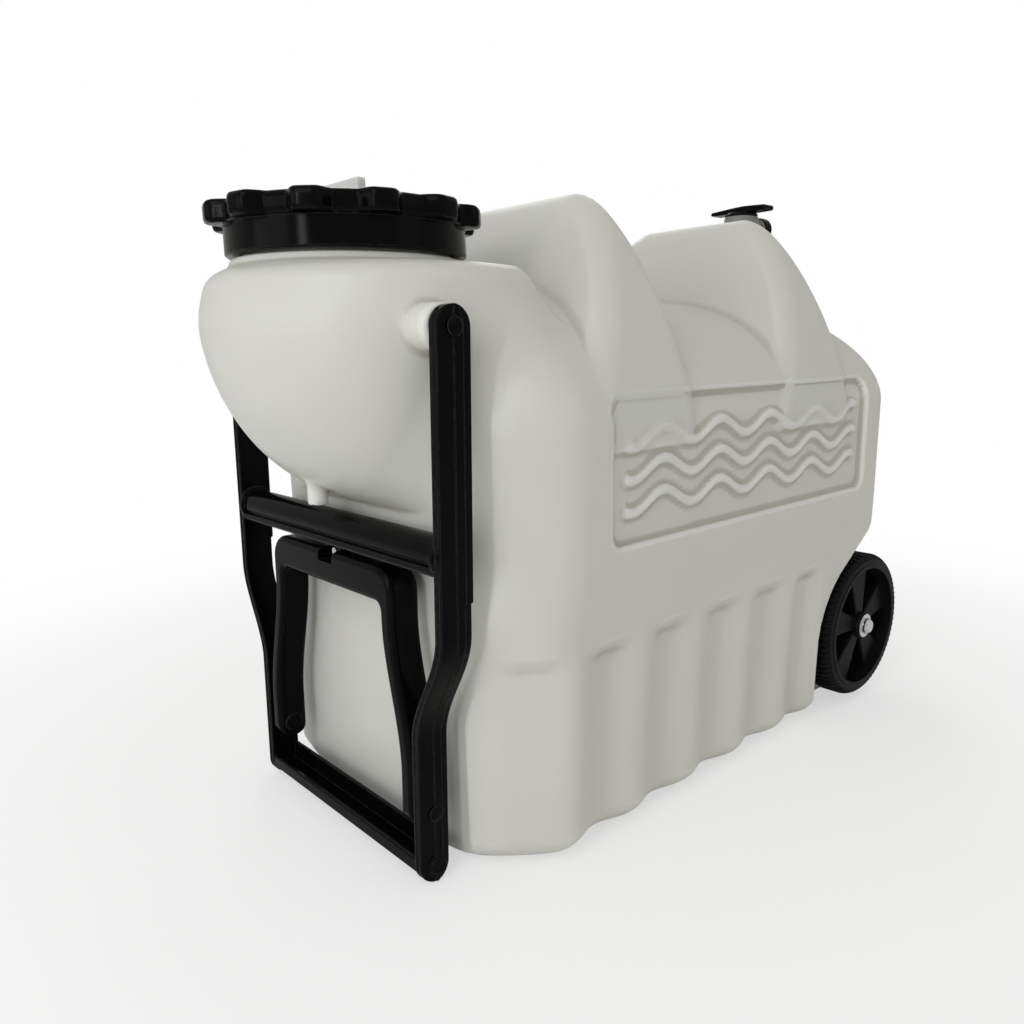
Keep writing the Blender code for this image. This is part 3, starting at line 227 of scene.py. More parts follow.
WAVE_SWING = 0.0045
WAVE_LENGTH = 0.048
WAVE_HALF_BAND = 0.0024
WAVE_SPACING = 0.0160
WAVE_MARGIN = 0.008
WAVE_FADE = 0.004
WAVE_CREST = 1.4


def arm_outer_at(z):
    """Outer face of the handle's arms at a height, as a distance from the middle plane."""
    fraction = smooth_step((z - BEND_BOTTOM) / (BEND_TOP - BEND_BOTTOM))
    return ARM_LOWER + (ARM_OUTER - ARM_LOWER) * fraction


def pressed_pockets(x, y, z):
    """The pockets for the folded handle, the arms and the wheels, as one field each."""
    side = np.abs(y)
    recess = round_max(x - RECESS_FLOOR_X, side - arm_outer_at(z) - RECESS_CLEARANCE, POCKET_FILLET)
    recess = round_max(recess, z - RECESS_TOP, POCKET_FILLET)
    slot = np.maximum(x - SLOT_BACK, np.maximum(SLOT_INNER - side, side - SLOT_OUTER))
    slot = np.maximum(slot, np.maximum(z - SLOT_TOP, SLOT_BOTTOM - z))
    across = x - WHEEL_X
    above = z - WHEEL_Z
    tilted = above * math.cos(WHEEL_POCKET_SLOPE) - across * math.sin(WHEEL_POCKET_SLOPE)
    along = across * math.cos(WHEEL_POCKET_SLOPE) + above * math.sin(WHEEL_POCKET_SLOPE)
    around = np.hypot(across, above) - WHEEL_POCKET
    around = np.minimum(around, np.maximum(-across - WHEEL_POCKET, above))
    around = np.minimum(around, np.maximum(tilted - WHEEL_POCKET, -along))
    wheel = round_max(around, WHEEL_POCKET_Y - side, POCKET_FILLET)
    return recess, slot, wheel


def side_plate(x, y, z, body):
    """Shallow rectangle pressed into each side, with three plain wavy ribs standing in it."""
    middle_x = (PLATE_LOW[0] + PLATE_HIGH[0]) / 2
    middle_z = (PLATE_LOW[1] + PLATE_HIGH[1]) / 2
    in_length = np.abs(x - middle_x) - (PLATE_HIGH[0] - PLATE_LOW[0]) / 2
    in_height = np.abs(z - middle_z) - (PLATE_HIGH[1] - PLATE_LOW[1]) / 2
    outline = round_max(in_length, in_height, PLATE_CORNER)
    swing = WAVE_SWING * np.sin(2 * math.pi * (x - middle_x) / WAVE_LENGTH)
    level = z - middle_z - swing
    nearest = level - WAVE_SPACING * np.clip(np.round(level / WAVE_SPACING), -1, 1)
    inside = smooth_step((-outline - WAVE_MARGIN) / WAVE_FADE)
    rib = WAVE_HEIGHT * smooth_step(WAVE_CREST - np.abs(nearest) / WAVE_HALF_BAND) * inside
    skin = np.maximum(-body - PLATE_DEPTH + rib, PLATE_INNERMOST - np.abs(y))
    return round_max(outline, skin, PLATE_EDGE)


NECK_RADIUS = 0.0495
NECK_TOP = 0.313
NECK_ROOT = DECK_HEIGHT - 0.020
NECK_EDGE = 0.001
MOUTH_RADIUS = 0.045
MOUTH_BOTTOM = 0.24
MOUTH_TOP = NECK_TOP + 0.02
PEDESTAL_RADIUS = 0.0560
PEDESTAL_TOP = DECK_HEIGHT + 0.0042
PEDESTAL_EDGE = 0.0022
PEDESTAL_FILLET = 0.0025
TAP_NECK_RADIUS = 0.015
TAP_NECK_TOP = 0.3195
TAP_NECK_ROOT = DECK_HEIGHT - 0.045
TAP_NECK_FILLET = 0.004
NUB_X = FRONT_X + 0.044
NUB_RADIUS = 0.005
NUB_LOW = 0.178
NUB_TOP = 0.20
NUB_FILLET = 0.003
BOSS_START = 0.070
BOSS_FILLET = 0.0025


def tank_field(x, y, z):
    """Outside of the tank: the body with its pockets, neck, tap outlet and the handle's bosses."""
    body = body_field(x, y, z)
    recess, slot, wheel = pressed_pockets(x, y, z)
    nub = np.maximum(np.hypot(x - NUB_X, y) - NUB_RADIUS, np.maximum(NUB_LOW - z, z - NUB_TOP))
    body = round_min(body, nub, NUB_FILLET)
    body = round_max(body, -recess, POCKET_EDGE)
    body = round_max(body, -slot, SLOT_EDGE)
    body = round_max(body, -wheel, POCKET_EDGE)
    body = round_max(body, -side_plate(x, y, z, body), PLATE_LIP)
    from_neck = np.hypot(x - NECK_X, y)
    pedestal = round_max(from_neck - PEDESTAL_RADIUS, z - PEDESTAL_TOP, PEDESTAL_EDGE)
    pedestal = np.maximum(pedestal, NECK_ROOT - z)
    body = round_min(body, pedestal, PEDESTAL_FILLET)
    neck = round_max(from_neck - NECK_RADIUS, z - NECK_TOP, NECK_EDGE)
    neck = np.maximum(neck, NECK_ROOT - z)
    body = round_min(body, neck, NECK_EDGE)
    outlet = np.maximum(np.hypot(x - TAP_X, y) - TAP_NECK_RADIUS, z - TAP_NECK_TOP)
    outlet = np.maximum(outlet, TAP_NECK_ROOT - z)
    body = round_min(body, outlet, TAP_NECK_FILLET)
    boss = np.maximum(np.hypot(x - PIVOT_X, z - PIVOT_Z) - BOSS_RADIUS, np.abs(y) - BOSS_END)
    boss = np.maximum(boss, BOSS_START - np.abs(y))
    return round_min(body, boss, BOSS_FILLET)


def hollow_field(x, y, z):
    """Room inside the tank, with the open mouth."""
    body = body_field(x, y, z)
    recess, slot, wheel = pressed_pockets(x, y, z)
    pressed = np.minimum(np.minimum(recess, slot), wheel)
    room = np.maximum(body, -pressed) + WALL
    mouth = np.maximum(np.hypot(x - NECK_X, y) - MOUTH_RADIUS, z - MOUTH_TOP)
    return np.minimum(room, np.maximum(mouth, MOUTH_BOTTOM - z))


SLOPE_STEP = 0.0002
LEAST_STEEPNESS = 0.2
SETTLING_ROUNDS = 3


def put_in_scene(name, data):
    """New object in the scene, with its mesh, lamp or camera."""
    made = bpy.data.objects.new(name, data)
    bpy.context.scene.collection.objects.link(made)
    return made


def piece_of(name, bm):
    """Piece made of a bmesh, with its faces turned outwards."""
    bmesh.ops.recalc_face_normals(bm, faces=bm.faces)
    mesh = bpy.data.meshes.new(name)
    bm.to_mesh(mesh)
    bm.free()
    return put_in_scene(name, mesh)


def skin_of(name, field, low, high, cell):
    """Mesh of the surface where a field is zero: one point in each grid cell that the surface crosses."""
    lines = [np.arange(start, end + cell, cell) for start, end in zip(low, high)]
    x, y, z = np.meshgrid(*lines, indexing="ij", sparse=True)
    shape = tuple(len(line) for line in lines)
    values = np.broadcast_to(field(x, y, z), shape)
    inside = values < 0.0
    cell_ids = []
    crossings = []
    rings = []
    for axis in range(3):
        lower = [slice(None)] * 3
        upper = [slice(None)] * 3
        lower[axis] = slice(None, -1)
        upper[axis] = slice(1, None)
        crossed = inside[tuple(lower)] != inside[tuple(upper)]
        spots = list(np.nonzero(crossed))
        start = values[tuple(lower)][crossed]
        end = values[tuple(upper)][crossed]
        point = np.stack([lines[k][spots[k]] for k in range(3)], axis=1)
        point[:, axis] += cell * start / (start - end)
        first, second = [k for k in range(3) if k != axis]
        ring = []
        for step_first, step_second in ((0, 0), (1, 0), (1, 1), (0, 1)):
            corner = list(spots)
            corner[first] = spots[first] - step_first
            corner[second] = spots[second] - step_second
            ids = np.ravel_multi_index(corner, shape)
            ring.append(ids)
            cell_ids.append(ids)
            crossings.append(point)
        rings.append(np.stack(ring, axis=1))
    cell_ids = np.concatenate(cell_ids)
    crossings = np.concatenate(crossings)
    used, number = np.unique(cell_ids, return_inverse=True)
    count = np.bincount(number)
    points = np.stack([np.bincount(number, crossings[:, k]) / count for k in range(3)], axis=1)
    faces = np.searchsorted(used, np.concatenate(rings))

    for _ in range(SETTLING_ROUNDS):
        here = field(*points.T)
        slope = np.zeros_like(points)
        for axis in range(3):
            shifted = points.copy()
            shifted[:, axis] += SLOPE_STEP
            slope[:, axis] = (field(*shifted.T) - here) / SLOPE_STEP
        steepness = np.maximum((slope ** 2).sum(axis=1), LEAST_STEEPNESS)
        move = np.clip(here / steepness, -cell / 2, cell / 2)
        points -= slope * move[:, None]

    laid = bpy.data.meshes.new("laid")
    laid.from_pydata(points.tolist(), [], faces.tolist())
    bm = bmesh.new()
    bm.from_mesh(laid)
    bpy.data.meshes.remove(laid)
    return piece_of(name, bm)


def combine(made, tools, operation):
    """Join the tools to the piece or cut them out of it, and remove the tools."""
    for tool in tools:
        step = made.modifiers.new("Combine", "BOOLEAN")
        step.operation = operation
        step.solver = "EXACT"
        step.object = tool
    depsgraph = bpy.context.evaluated_depsgraph_get()
    made.data = bpy.data.meshes.new_from_object(made.evaluated_get(depsgraph))
    made.modifiers.clear()
    for tool in tools:
        bpy.data.objects.remove(tool, do_unlink=True)


MARGIN = 0.006
TANK_CELL = 0.0021
ROOM_CELL = 0.008
skin_low = (FRONT_X - MARGIN, -HALF_WIDTH - MARGIN, -MARGIN)
skin_high = (BODY_REAR + MARGIN, HALF_WIDTH + MARGIN, HOOP_HEIGHT + MARGIN)
tank_shell = skin_of("tank_shell", tank_field, skin_low, skin_high, TANK_CELL)
tank_room = skin_of("tank_room", hollow_field, skin_low, skin_high, ROOM_CELL)
combine(tank_shell, [tank_room], "DIFFERENCE")
tank_shell.data.shade_smooth()


def new_group(name, inputs, outputs):
    """Empty shader node group with its sockets."""
    group = bpy.data.node_groups.new(name, "ShaderNodeTree")
    for label, kind, default in inputs:
        socket = group.interface.new_socket(name=label, in_out="INPUT", socket_type=kind)
        socket.default_value = default
    for label, kind in outputs:
        group.interface.new_socket(name=label, in_out="OUTPUT", socket_type=kind)
    return group, group.nodes.new("NodeGroupInput"), group.nodes.new("NodeGroupOutput")


def feed(tree, node, values):
    """Give a node's inputs their values, or links from other nodes' outputs."""
    for label, value in values.items():
        if isinstance(value, bpy.types.NodeSocket):
            tree.links.new(value, node.inputs[label])
        else:
            node.inputs[label].default_value = value


def add_node(tree, kind, values=None, **settings):
    """Node with its settings and what feeds its inputs."""
    node = tree.nodes.new(kind)
    for label, value in settings.items():
        setattr(node, label, value)
    feed(tree, node, values or {})
    return node


def result_of(tree, operation, *values):
    """Result of a calculation with sockets and numbers."""
    return add_node(tree, "ShaderNodeMath", dict(enumerate(values)), operation=operation).outputs[0]


def between(tree, kind, share, first, second):
    """Colour or number between two others."""
    values = {"Factor": share, "A": first, "B": second}
    return add_node(tree, "ShaderNodeMix", values, data_type=kind).outputs["Result"]


def ramp(tree, value, start, end, low=0.0, high=1.0, **settings):
    """Number that goes from low to high while a value goes from start to end."""
    values = {"Value": value, "From Min": start, "From Max": end, "To Min": low, "To Max": high}
    return add_node(tree, "ShaderNodeMapRange", values, **settings).outputs["Result"]


def noise(tree, place, scale, detail):
    """Noise pattern of one scale."""
    values = {"Vector": place, "Scale": scale, "Detail": detail}
    return add_node(tree, "ShaderNodeTexNoise", values).outputs["Fac"]


def make_moulded_surface():
    """Colour, roughness and height of a moulded plastic skin: slow clouding, fine grain and slow waves."""
    group, given, result = new_group(
        "moulded_surface",
        [
            ("Colour", "NodeSocketColor", (0.5, 0.5, 0.5, 1.0)),
            ("Cloud Colour", "NodeSocketColor", (0.5, 0.5, 0.5, 1.0)),
            ("Cloud Scale", "NodeSocketFloat", 12.0),
            ("Grain Scale", "NodeSocketFloat", 900.0),
            ("Wave Scale", "NodeSocketFloat", 20.0),
            ("Wave Share", "NodeSocketFloat", 0.5),
            ("Roughness", "NodeSocketFloat", 0.4),
            ("Roughness Spread", "NodeSocketFloat", 0.1),
        ],
        [("Colour", "NodeSocketColor"), ("Roughness", "NodeSocketFloat"), ("Height", "NodeSocketFloat")],
    )
    put = given.outputs
    place = add_node(group, "ShaderNodeTexCoord").outputs["Object"]
    cloud = noise(group, place, put["Cloud Scale"], detail=4.0)
    grain = noise(group, place, put["Grain Scale"], detail=2.0)
    wave = noise(group, place, put["Wave Scale"], detail=1.0)
    colour = between(group, "RGBA", cloud, put["Colour"], put["Cloud Colour"])
    offset = result_of(group, "SUBTRACT", cloud, 0.5)
    rough = result_of(group, "MULTIPLY_ADD", offset, put["Roughness Spread"], put["Roughness"])
    height = between(group, "FLOAT", put["Wave Share"], grain, wave)
    feed(group, result, {"Colour": colour, "Roughness": rough, "Height": height})
    return group


moulded_surface = make_moulded_surface()


def make_edge_scuff_and_highlight():
    """Broken mask along the edges, for scuffs and a painted highlight, and a normal that is rounded over
    them.
    """
    group, given, result = new_group(
        "edge_scuff_and_highlight",
        [("Radius", "NodeSocketFloat", 0.0008), ("Break Scale", "NodeSocketFloat", 300.0)],
        [("Mask", "NodeSocketFloat"), ("Normal", "NodeSocketVector")],
    )
    rounded = add_node(group, "ShaderNodeBevel", {"Radius": given.outputs["Radius"]}, samples=4)
    plain = add_node(group, "ShaderNodeNewGeometry").outputs["Normal"]
    normals = {0: rounded.outputs["Normal"], 1: plain}
    alike = add_node(group, "ShaderNodeVectorMath", normals, operation="DOT_PRODUCT").outputs["Value"]
    # The edges picked out here get scuffs and a painted highlight.
    edge = ramp(group, alike, start=0.985, end=0.85)
    place = add_node(group, "ShaderNodeTexCoord").outputs["Object"]
    patches = noise(group, place, given.outputs["Break Scale"], detail=3.0)
    broken = ramp(group, patches, start=0.35, end=0.60, low=0.25)
    mask = result_of(group, "MULTIPLY", edge, broken)
    feed(group, result, {"Mask": mask, "Normal": rounded.outputs["Normal"]})
    return group


edge_scuff_and_highlight = make_edge_scuff_and_highlight()


def feed_shader(material, values):
    """Give a material's own shader its values and links."""
    feed(material.node_tree, material.node_tree.nodes["Principled BSDF"], values)


def plastic(name, colour, cloud, roughness, spread, bump, scales, wave_share, edge_scuff_and_highlight_colour, edge_radius):
    """Moulded plastic with its own values in the shared groups, with a lighter colour along its edges that
    is partly scuffing and partly a painted highlight.
    """
    made = bpy.data.materials.new(name)
    made.use_nodes = True
    tree = made.node_tree
    values = {
        "Colour": (*colour, 1.0),
        "Cloud Colour": (*cloud, 1.0),
        "Cloud Scale": scales[0],
        "Grain Scale": scales[1],
        "Wave Scale": scales[2],
        "Wave Share": wave_share,
        "Roughness": roughness,
        "Roughness Spread": spread,
    }
    surface = add_node(tree, "ShaderNodeGroup", values, node_tree=moulded_surface).outputs
    scuff_and_highlight = add_node(tree, "ShaderNodeGroup", {"Radius": edge_radius}, node_tree=edge_scuff_and_highlight).outputs
    strength, depth = bump
    skin = {"Height": surface["Height"], "Normal": scuff_and_highlight["Normal"], "Strength": strength, "Distance": depth}
    relief = add_node(tree, "ShaderNodeBump", skin).outputs["Normal"]
    # The lighter edge colour is partly scuffing and partly a painted highlight.
    scuffed_and_highlighted = between(tree, "RGBA", scuff_and_highlight["Mask"], surface["Colour"], (*edge_scuff_and_highlight_colour, 1.0))
    feed_shader(made, {"Base Color": scuffed_and_highlighted, "Roughness": surface["Roughness"], "Normal": relief})
    return made


# On the milky tank the lighter edge colour is a painted highlight.
milky = plastic(
    "milky_polyethylene",
    colour=(0.640, 0.632, 0.588),
    cloud=(0.680, 0.676, 0.636),
    roughness=0.34,
    spread=0.16,
    bump=(0.35, 0.0016),
    scales=(9.0, 420.0, 26.0),
    wave_share=0.92,
    edge_scuff_and_highlight_colour=(0.720, 0.716, 0.680),
    edge_radius=0.0020,
)
feed_shader(
    milky,
    {"Subsurface Weight": 0.35, "Subsurface Radius": (1.0, 0.95, 0.85), "Subsurface Scale": 0.012},
)

# Painted highlight on the tank's ridges and painted shade in its creases, picked out by the mesh's
# pointiness.
RIDGE_HIGHLIGHT_BEND = (0.508, 0.530)
RIDGE_HIGHLIGHT_COLOUR = (0.750, 0.748, 0.715)
CREASE_SHADE_BEND = (0.494, 0.470)
CREASE_SHADE_COLOUR = (0.520, 0.500, 0.440)


def paint_ridge_highlight_and_crease_shade(material):
    """Paint a highlight on the ridges of a soft moulding and paint shade into its creases."""
    tree = material.node_tree
    base = tree.nodes["Principled BSDF"].inputs["Base Color"]
    bend = add_node(tree, "ShaderNodeNewGeometry").outputs["Pointiness"]
    colour = base.links[0].from_socket
    # The lighter tint on the ridges is a painted highlight, the darker tint in the creases is painted
    # shade.
    for span, tint in ((RIDGE_HIGHLIGHT_BEND, RIDGE_HIGHLIGHT_COLOUR), (CREASE_SHADE_BEND, CREASE_SHADE_COLOUR)):
        share = ramp(tree, bend, *span, interpolation_type="SMOOTHSTEP")
        colour = between(tree, "RGBA", share, colour, (*tint, 1.0))
    tree.links.new(colour, base)


def give(piece, material):
    """Give a piece one material."""
    piece.data.materials.clear()
    piece.data.materials.append(material)


paint_ridge_highlight_and_crease_shade(milky)
give(tank_shell, milky)
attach(tank_shell, "tank")
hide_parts("tank")

# The filler cap is an injection moulding in glossy black polypropylene: a dished lid with twelve knobs
# round its edge and a smooth skirt that covers the neck's thread.

CAP_LOBES = 12
FIRST_KNOB = 14.2
CAP_TOP = cap_high.z
CAP_BOTTOM = cap_low.z
CAP_OUTER = 0.0655
CAP_SKIRT = 0.0575
CAP_RING = CAP_SKIRT + 0.0008
CAP_INNER = 0.0513
KNOB_RISE = CAP_OUTER - 0.0001 - CAP_RING
KNOB_HALF_ANGLE = 9.8
KNOB_FLANK_ANGLE = 6.4
KNOB_FULLNESS = 0.8
RIM_BOTTOM = CAP_TOP - 0.010
VENT_HOLE = 0.0065
CAP_STEPS = 288


def knob_share(angle):
    """1 on a knob's face, 0 between knobs."""
    pitch = 360.0 / CAP_LOBES
    offset = abs((math.degrees(angle) - FIRST_KNOB + pitch / 2) % pitch - pitch / 2)
    return float(smooth_step((KNOB_HALF_ANGLE - offset) / KNOB_FLANK_ANGLE)) ** KNOB_FULLNESS


def wall_between(bm, lower, upper):
    """Faces between two matching rings of points."""
    for index in range(len(lower)):
        after = (index + 1) % len(lower)
        bm.faces.new((lower[index], lower[after], upper[after], upper[index]))


def revolved(name, rings, steps):
    """Closed surface from rings of (radius, height), each radius a number or a function of the angle."""
    bm = bmesh.new()
    loops = []
    for radius, height in rings:
        loop = []
        for index in range(steps):
            angle = 2 * math.pi * index / steps
            reach = radius(angle) if callable(radius) else radius
            loop.append(bm.verts.new((reach * math.cos(angle), reach * math.sin(angle), height)))
        loops.append(loop)
    for lower, upper in zip(loops, loops[1:] + loops[:1]):
        wall_between(bm, lower, upper)
    made = piece_of(name, bm)
    made.data.shade_smooth()
    made.data.set_sharp_from_angle(angle=math.radians(35))
    return made


def rim_reach(inset):
    """Radius of a ring on the cap's rim, which stands out at the knobs."""
    return lambda angle: CAP_RING - inset + KNOB_RISE * knob_share(angle)


cap_rings = [
    (VENT_HOLE, CAP_TOP - 0.0032),
    (VENT_HOLE, CAP_TOP - 0.0004),
    (VENT_HOLE + 0.0006, CAP_TOP),
    (0.0180, CAP_TOP),
    (0.0190, CAP_TOP - 0.0012),
    (0.0440, CAP_TOP - 0.0012),
    (0.0452, CAP_TOP - 0.0002),
    (0.0500, CAP_TOP),
    (rim_reach(0.0030), CAP_TOP),
    (rim_reach(0.0014), CAP_TOP - 0.0005),
    (rim_reach(0.0004), CAP_TOP - 0.0015),
    (rim_reach(0.0), CAP_TOP - 0.0030),
    (rim_reach(0.0), RIM_BOTTOM + 0.0020),
    (rim_reach(0.0005), RIM_BOTTOM + 0.0006),
    (rim_reach(0.0015), RIM_BOTTOM),
    (CAP_SKIRT - 0.0002, RIM_BOTTOM - 0.0002),
    (CAP_SKIRT - 0.0002, RIM_BOTTOM - 0.0012),
    (CAP_SKIRT, CAP_BOTTOM + 0.0024),
    (CAP_SKIRT, CAP_BOTTOM + 0.0008),
    (CAP_SKIRT - 0.0010, CAP_BOTTOM),
    (CAP_INNER + 0.0006, CAP_BOTTOM),
    (CAP_INNER, CAP_BOTTOM + 0.0006),
    (CAP_INNER, CAP_TOP - 0.0040),
    (VENT_HOLE + 0.0006, CAP_TOP - 0.0040),
]
cap_shell = revolved("filler_cap_shell", cap_rings, CAP_STEPS)
cap_shell.location = (NECK_X, 0.0, 0.0)
gloss_black = plastic(
    "black_polypropylene",
    colour=(0.0012, 0.0012, 0.0013),
    cloud=(0.0032, 0.0032, 0.0034),
    roughness=0.14,
    spread=0.10,
    bump=(0.14, 0.0005),
    scales=(40.0, 1500.0, 120.0),
    wave_share=0.60,
    edge_scuff_and_highlight_colour=(0.040, 0.040, 0.042),
    edge_radius=0.0008,
)
feed_shader(gloss_black, {"Specular IOR Level": 0.06})
give(cap_shell, gloss_black)
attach(cap_shell, "cap")
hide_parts("filler_cap")

# The folding handle is one injection moulding in black polypropylene: two flat arms with a raised band
# down their outer faces, a half-round crossbar with a lip, and a lower bar: an open trough with ribs.

HANDLE_LEAN = math.radians(1.9)
HANDLE_PLACE = Matrix.Translation((PIVOT_X, 0.0, PIVOT_Z)) @ Matrix.Rotation(HANDLE_LEAN, 4, "Y")
HANDLE_REACH = 0.2615
ARM_HALF_DEPTH = 0.009
ARM_STEP = 0.0012
ARM_STEP_LEVEL = RECESS_TOP - 0.018 - PIVOT_Z
ARM_STEP_HEIGHT = 0.0006
BEND_SECTIONS = 25
CROSSBAR_Z = -0.0968
CROSSBAR_RADIUS = 0.0086
CROSSBAR_SHIFT = -0.0003
FLANGE_RADIUS = 0.0104
TAB_HALF = 0.006
TAB_HALF_DEPTH = 0.0030
TAB_DROP = 0.0165
TAB_EDGE = 0.001
BAR_BOTTOM = -HANDLE_REACH + 0.005
BAR_FRONT_TOP = -HANDLE_REACH + 0.0125
BAR_BACK_TOP = -HANDLE_REACH + 0.0178
GRIP_PIVOT_Z = -HANDLE_REACH + 0.036
TRUSS_RIBS = 11
TRUSS_FRONT = -0.0068
TRUSS_BACK = 0.0058
END_BOSS_Z = -HANDLE_REACH + 0.0088
END_BOSS_RADIUS = 0.0046
END_BOSS_RISE = 0.0012
OVERLAP = 0.002
PIN_HOLE = 0.0033
GRIP_PIN_HOLE = 0.0028
DRILL_DEPTH = 0.02
DRILL_START = 0.01
FULL_TURN = range(0, 360, 9)


def closed_mesh(name, sections):
    """Closed solid through matching rings of points."""
    bm = bmesh.new()
    rings = [[bm.verts.new(point) for point in section] for section in sections]
    for lower, upper in zip(rings, rings[1:]):
        wall_between(bm, lower, upper)
    bm.faces.new(rings[0])
    bm.faces.new(rings[-1])
    return piece_of(name, bm)


def arc(radius, degrees, middle=(0.0, 0.0)):
    """Points of a circle at the given angles."""
    turns = [math.radians(angle) for angle in degrees]
    return [(middle[0] + radius * math.cos(turn), middle[1] + radius * math.sin(turn)) for turn in turns]


def turned(name, outline, middle):
    """Round solid along Y, from its outline of (place along Y, radius)."""
    rings = [[(x, y, z) for x, z in arc(reach, FULL_TURN, middle)] for y, reach in outline]
    return closed_mesh(name, rings)


def side_bar(name, side, ends, radius, middle):
    """Round bar on one side of the middle plane, with softly broken end edges."""
    low, high = sorted(side * end for end in ends)
    soft = min(0.0004, radius * 0.2)
    outline = ((low, radius - soft), (low + soft, radius), (high - soft, radius), (high, radius - soft))
    return turned(name, outline, middle)


def bar_along(name, profile, half):
    """Solid with one profile in X and Z, running across the handle."""
    return closed_mesh(name, [[(x, y, z) for x, z in profile] for y in (-half, half)])


# Cross-section of an arm: share of its half depth, and height above its inner face.
ARM_PROFILE = (
    (-1.00, 0.0008), (-1.00, 0.0017), (-0.94, 0.0021), (-0.94, 0.0040), (-1.00, 0.0044),
    (-1.00, 0.0051), (-0.97, 0.0056), (-0.90, 0.0059), (-0.10, 0.0060), (-0.05, 0.0065),
    (0.45, 0.0065), (0.50, 0.0060), (0.88, 0.0059), (0.96, 0.0055), (1.00, 0.0048),
    (1.00, 0.0010), (0.97, 0.0004), (0.90, 0.0), (-0.90, 0.0), (-0.97, 0.0003),
)


def make_arm(side):
    """One arm, from its round top over the bend to its round foot. Below its step it is less deep."""
    round_end = arc(ARM_HALF_DEPTH, (88, 80, 70, 60, 50, 40, 30, 20, 10, 0))
    low_round = -HANDLE_REACH + ARM_HALF_DEPTH
    levels = [(rise, reach) for reach, rise in round_end]
    levels += [(ARM_STEP_LEVEL, ARM_HALF_DEPTH), (ARM_STEP_LEVEL - ARM_STEP_HEIGHT, ARM_HALF_DEPTH)]
    bend = np.linspace(BEND_TOP - PIVOT_Z, BEND_BOTTOM - PIVOT_Z, BEND_SECTIONS)
    levels += [(float(level), ARM_HALF_DEPTH) for level in bend]
    levels += [(low_round - rise, reach) for reach, rise in reversed(round_end)]
    sections = []
    for level, reach in levels:
        inner = float(arm_outer_at(level + PIVOT_Z)) - ARM_THICKNESS
        back = reach - ARM_STEP * reach / ARM_HALF_DEPTH if level < ARM_STEP_LEVEL else reach
        ring = []
        for share, height in ARM_PROFILE:
            x = share * (back if share > 0 else reach)
            ring.append((x, side * (inner + height), level))
        sections.append(ring)
    return closed_mesh("arm", sections)


def make_crossbar(half):
    """Half-round bar between the arms, with a lip along its front."""
    profile = arc(CROSSBAR_RADIUS, range(-55, 196, 10))
    profile += [(-0.0068, -0.0030), (-0.0066, -0.0040), (-0.0078, -0.0044), (-0.0085, -0.0051)]
    profile += [(-0.0086, -0.0072), (-0.0080, -0.0082), (-0.0068, -0.0086), (0.0020, -0.0086)]
    return bar_along("crossbar", [(x + CROSSBAR_SHIFT, z + CROSSBAR_Z) for x, z in profile], half)


def make_lower_bar(half):
    """Trough along the handle's lower end, with its back wall higher than its front wall."""
    front = -ARM_HALF_DEPTH + 0.0004
    back = ARM_HALF_DEPTH - ARM_STEP - 0.0004
    profile = [
        (front, BAR_BOTTOM + 0.0012),
        (front, BAR_FRONT_TOP - 0.0008),
        (front + 0.0006, BAR_FRONT_TOP),
        (front + 0.0020, BAR_FRONT_TOP),
        (front + 0.0024, BAR_FRONT_TOP - 0.0006),
        (front + 0.0026, BAR_BOTTOM + 0.0026),
        (back - 0.0024, BAR_BOTTOM + 0.0026),
        (back - 0.0022, BAR_BACK_TOP - 0.0006),
        (back - 0.0018, BAR_BACK_TOP),
        (back - 0.0006, BAR_BACK_TOP),
        (back, BAR_BACK_TOP - 0.0006),
        (back, BAR_BOTTOM + 0.0012),
        (back - 0.0012, BAR_BOTTOM),
        (front + 0.0012, BAR_BOTTOM),
    ]
    return bar_along("lower_bar", profile, half)


def make_truss(half):
    """Zigzag rib that stands in the lower bar's trough."""
    points = []
    for index in range(TRUSS_RIBS):
        y = -half + 2 * half * index / (TRUSS_RIBS - 1)
        points.append((TRUSS_FRONT if index % 2 == 0 else TRUSS_BACK, y))
    ring = [(x + 0.0004, y + 0.0005) for x, y in points]
    ring += [(x - 0.0004, y - 0.0005) for x, y in reversed(points)]
    heights = (BAR_BOTTOM + 0.0018, BAR_FRONT_TOP - 0.0002)
    return closed_mesh("truss", [[(x, y, z) for x, y in ring] for z in heights])


def smooth_piece(made, angle):
    """Smooth shading that keeps the large flat faces flat up to their rounded edges."""
    made.data.shade_smooth()
    made.data.set_sharp_from_angle(angle=math.radians(angle))
    weigh = made.modifiers.new("Weigh normals", "WEIGHTED_NORMAL")
    weigh.keep_sharp = True
    combine(made, [], "UNION")


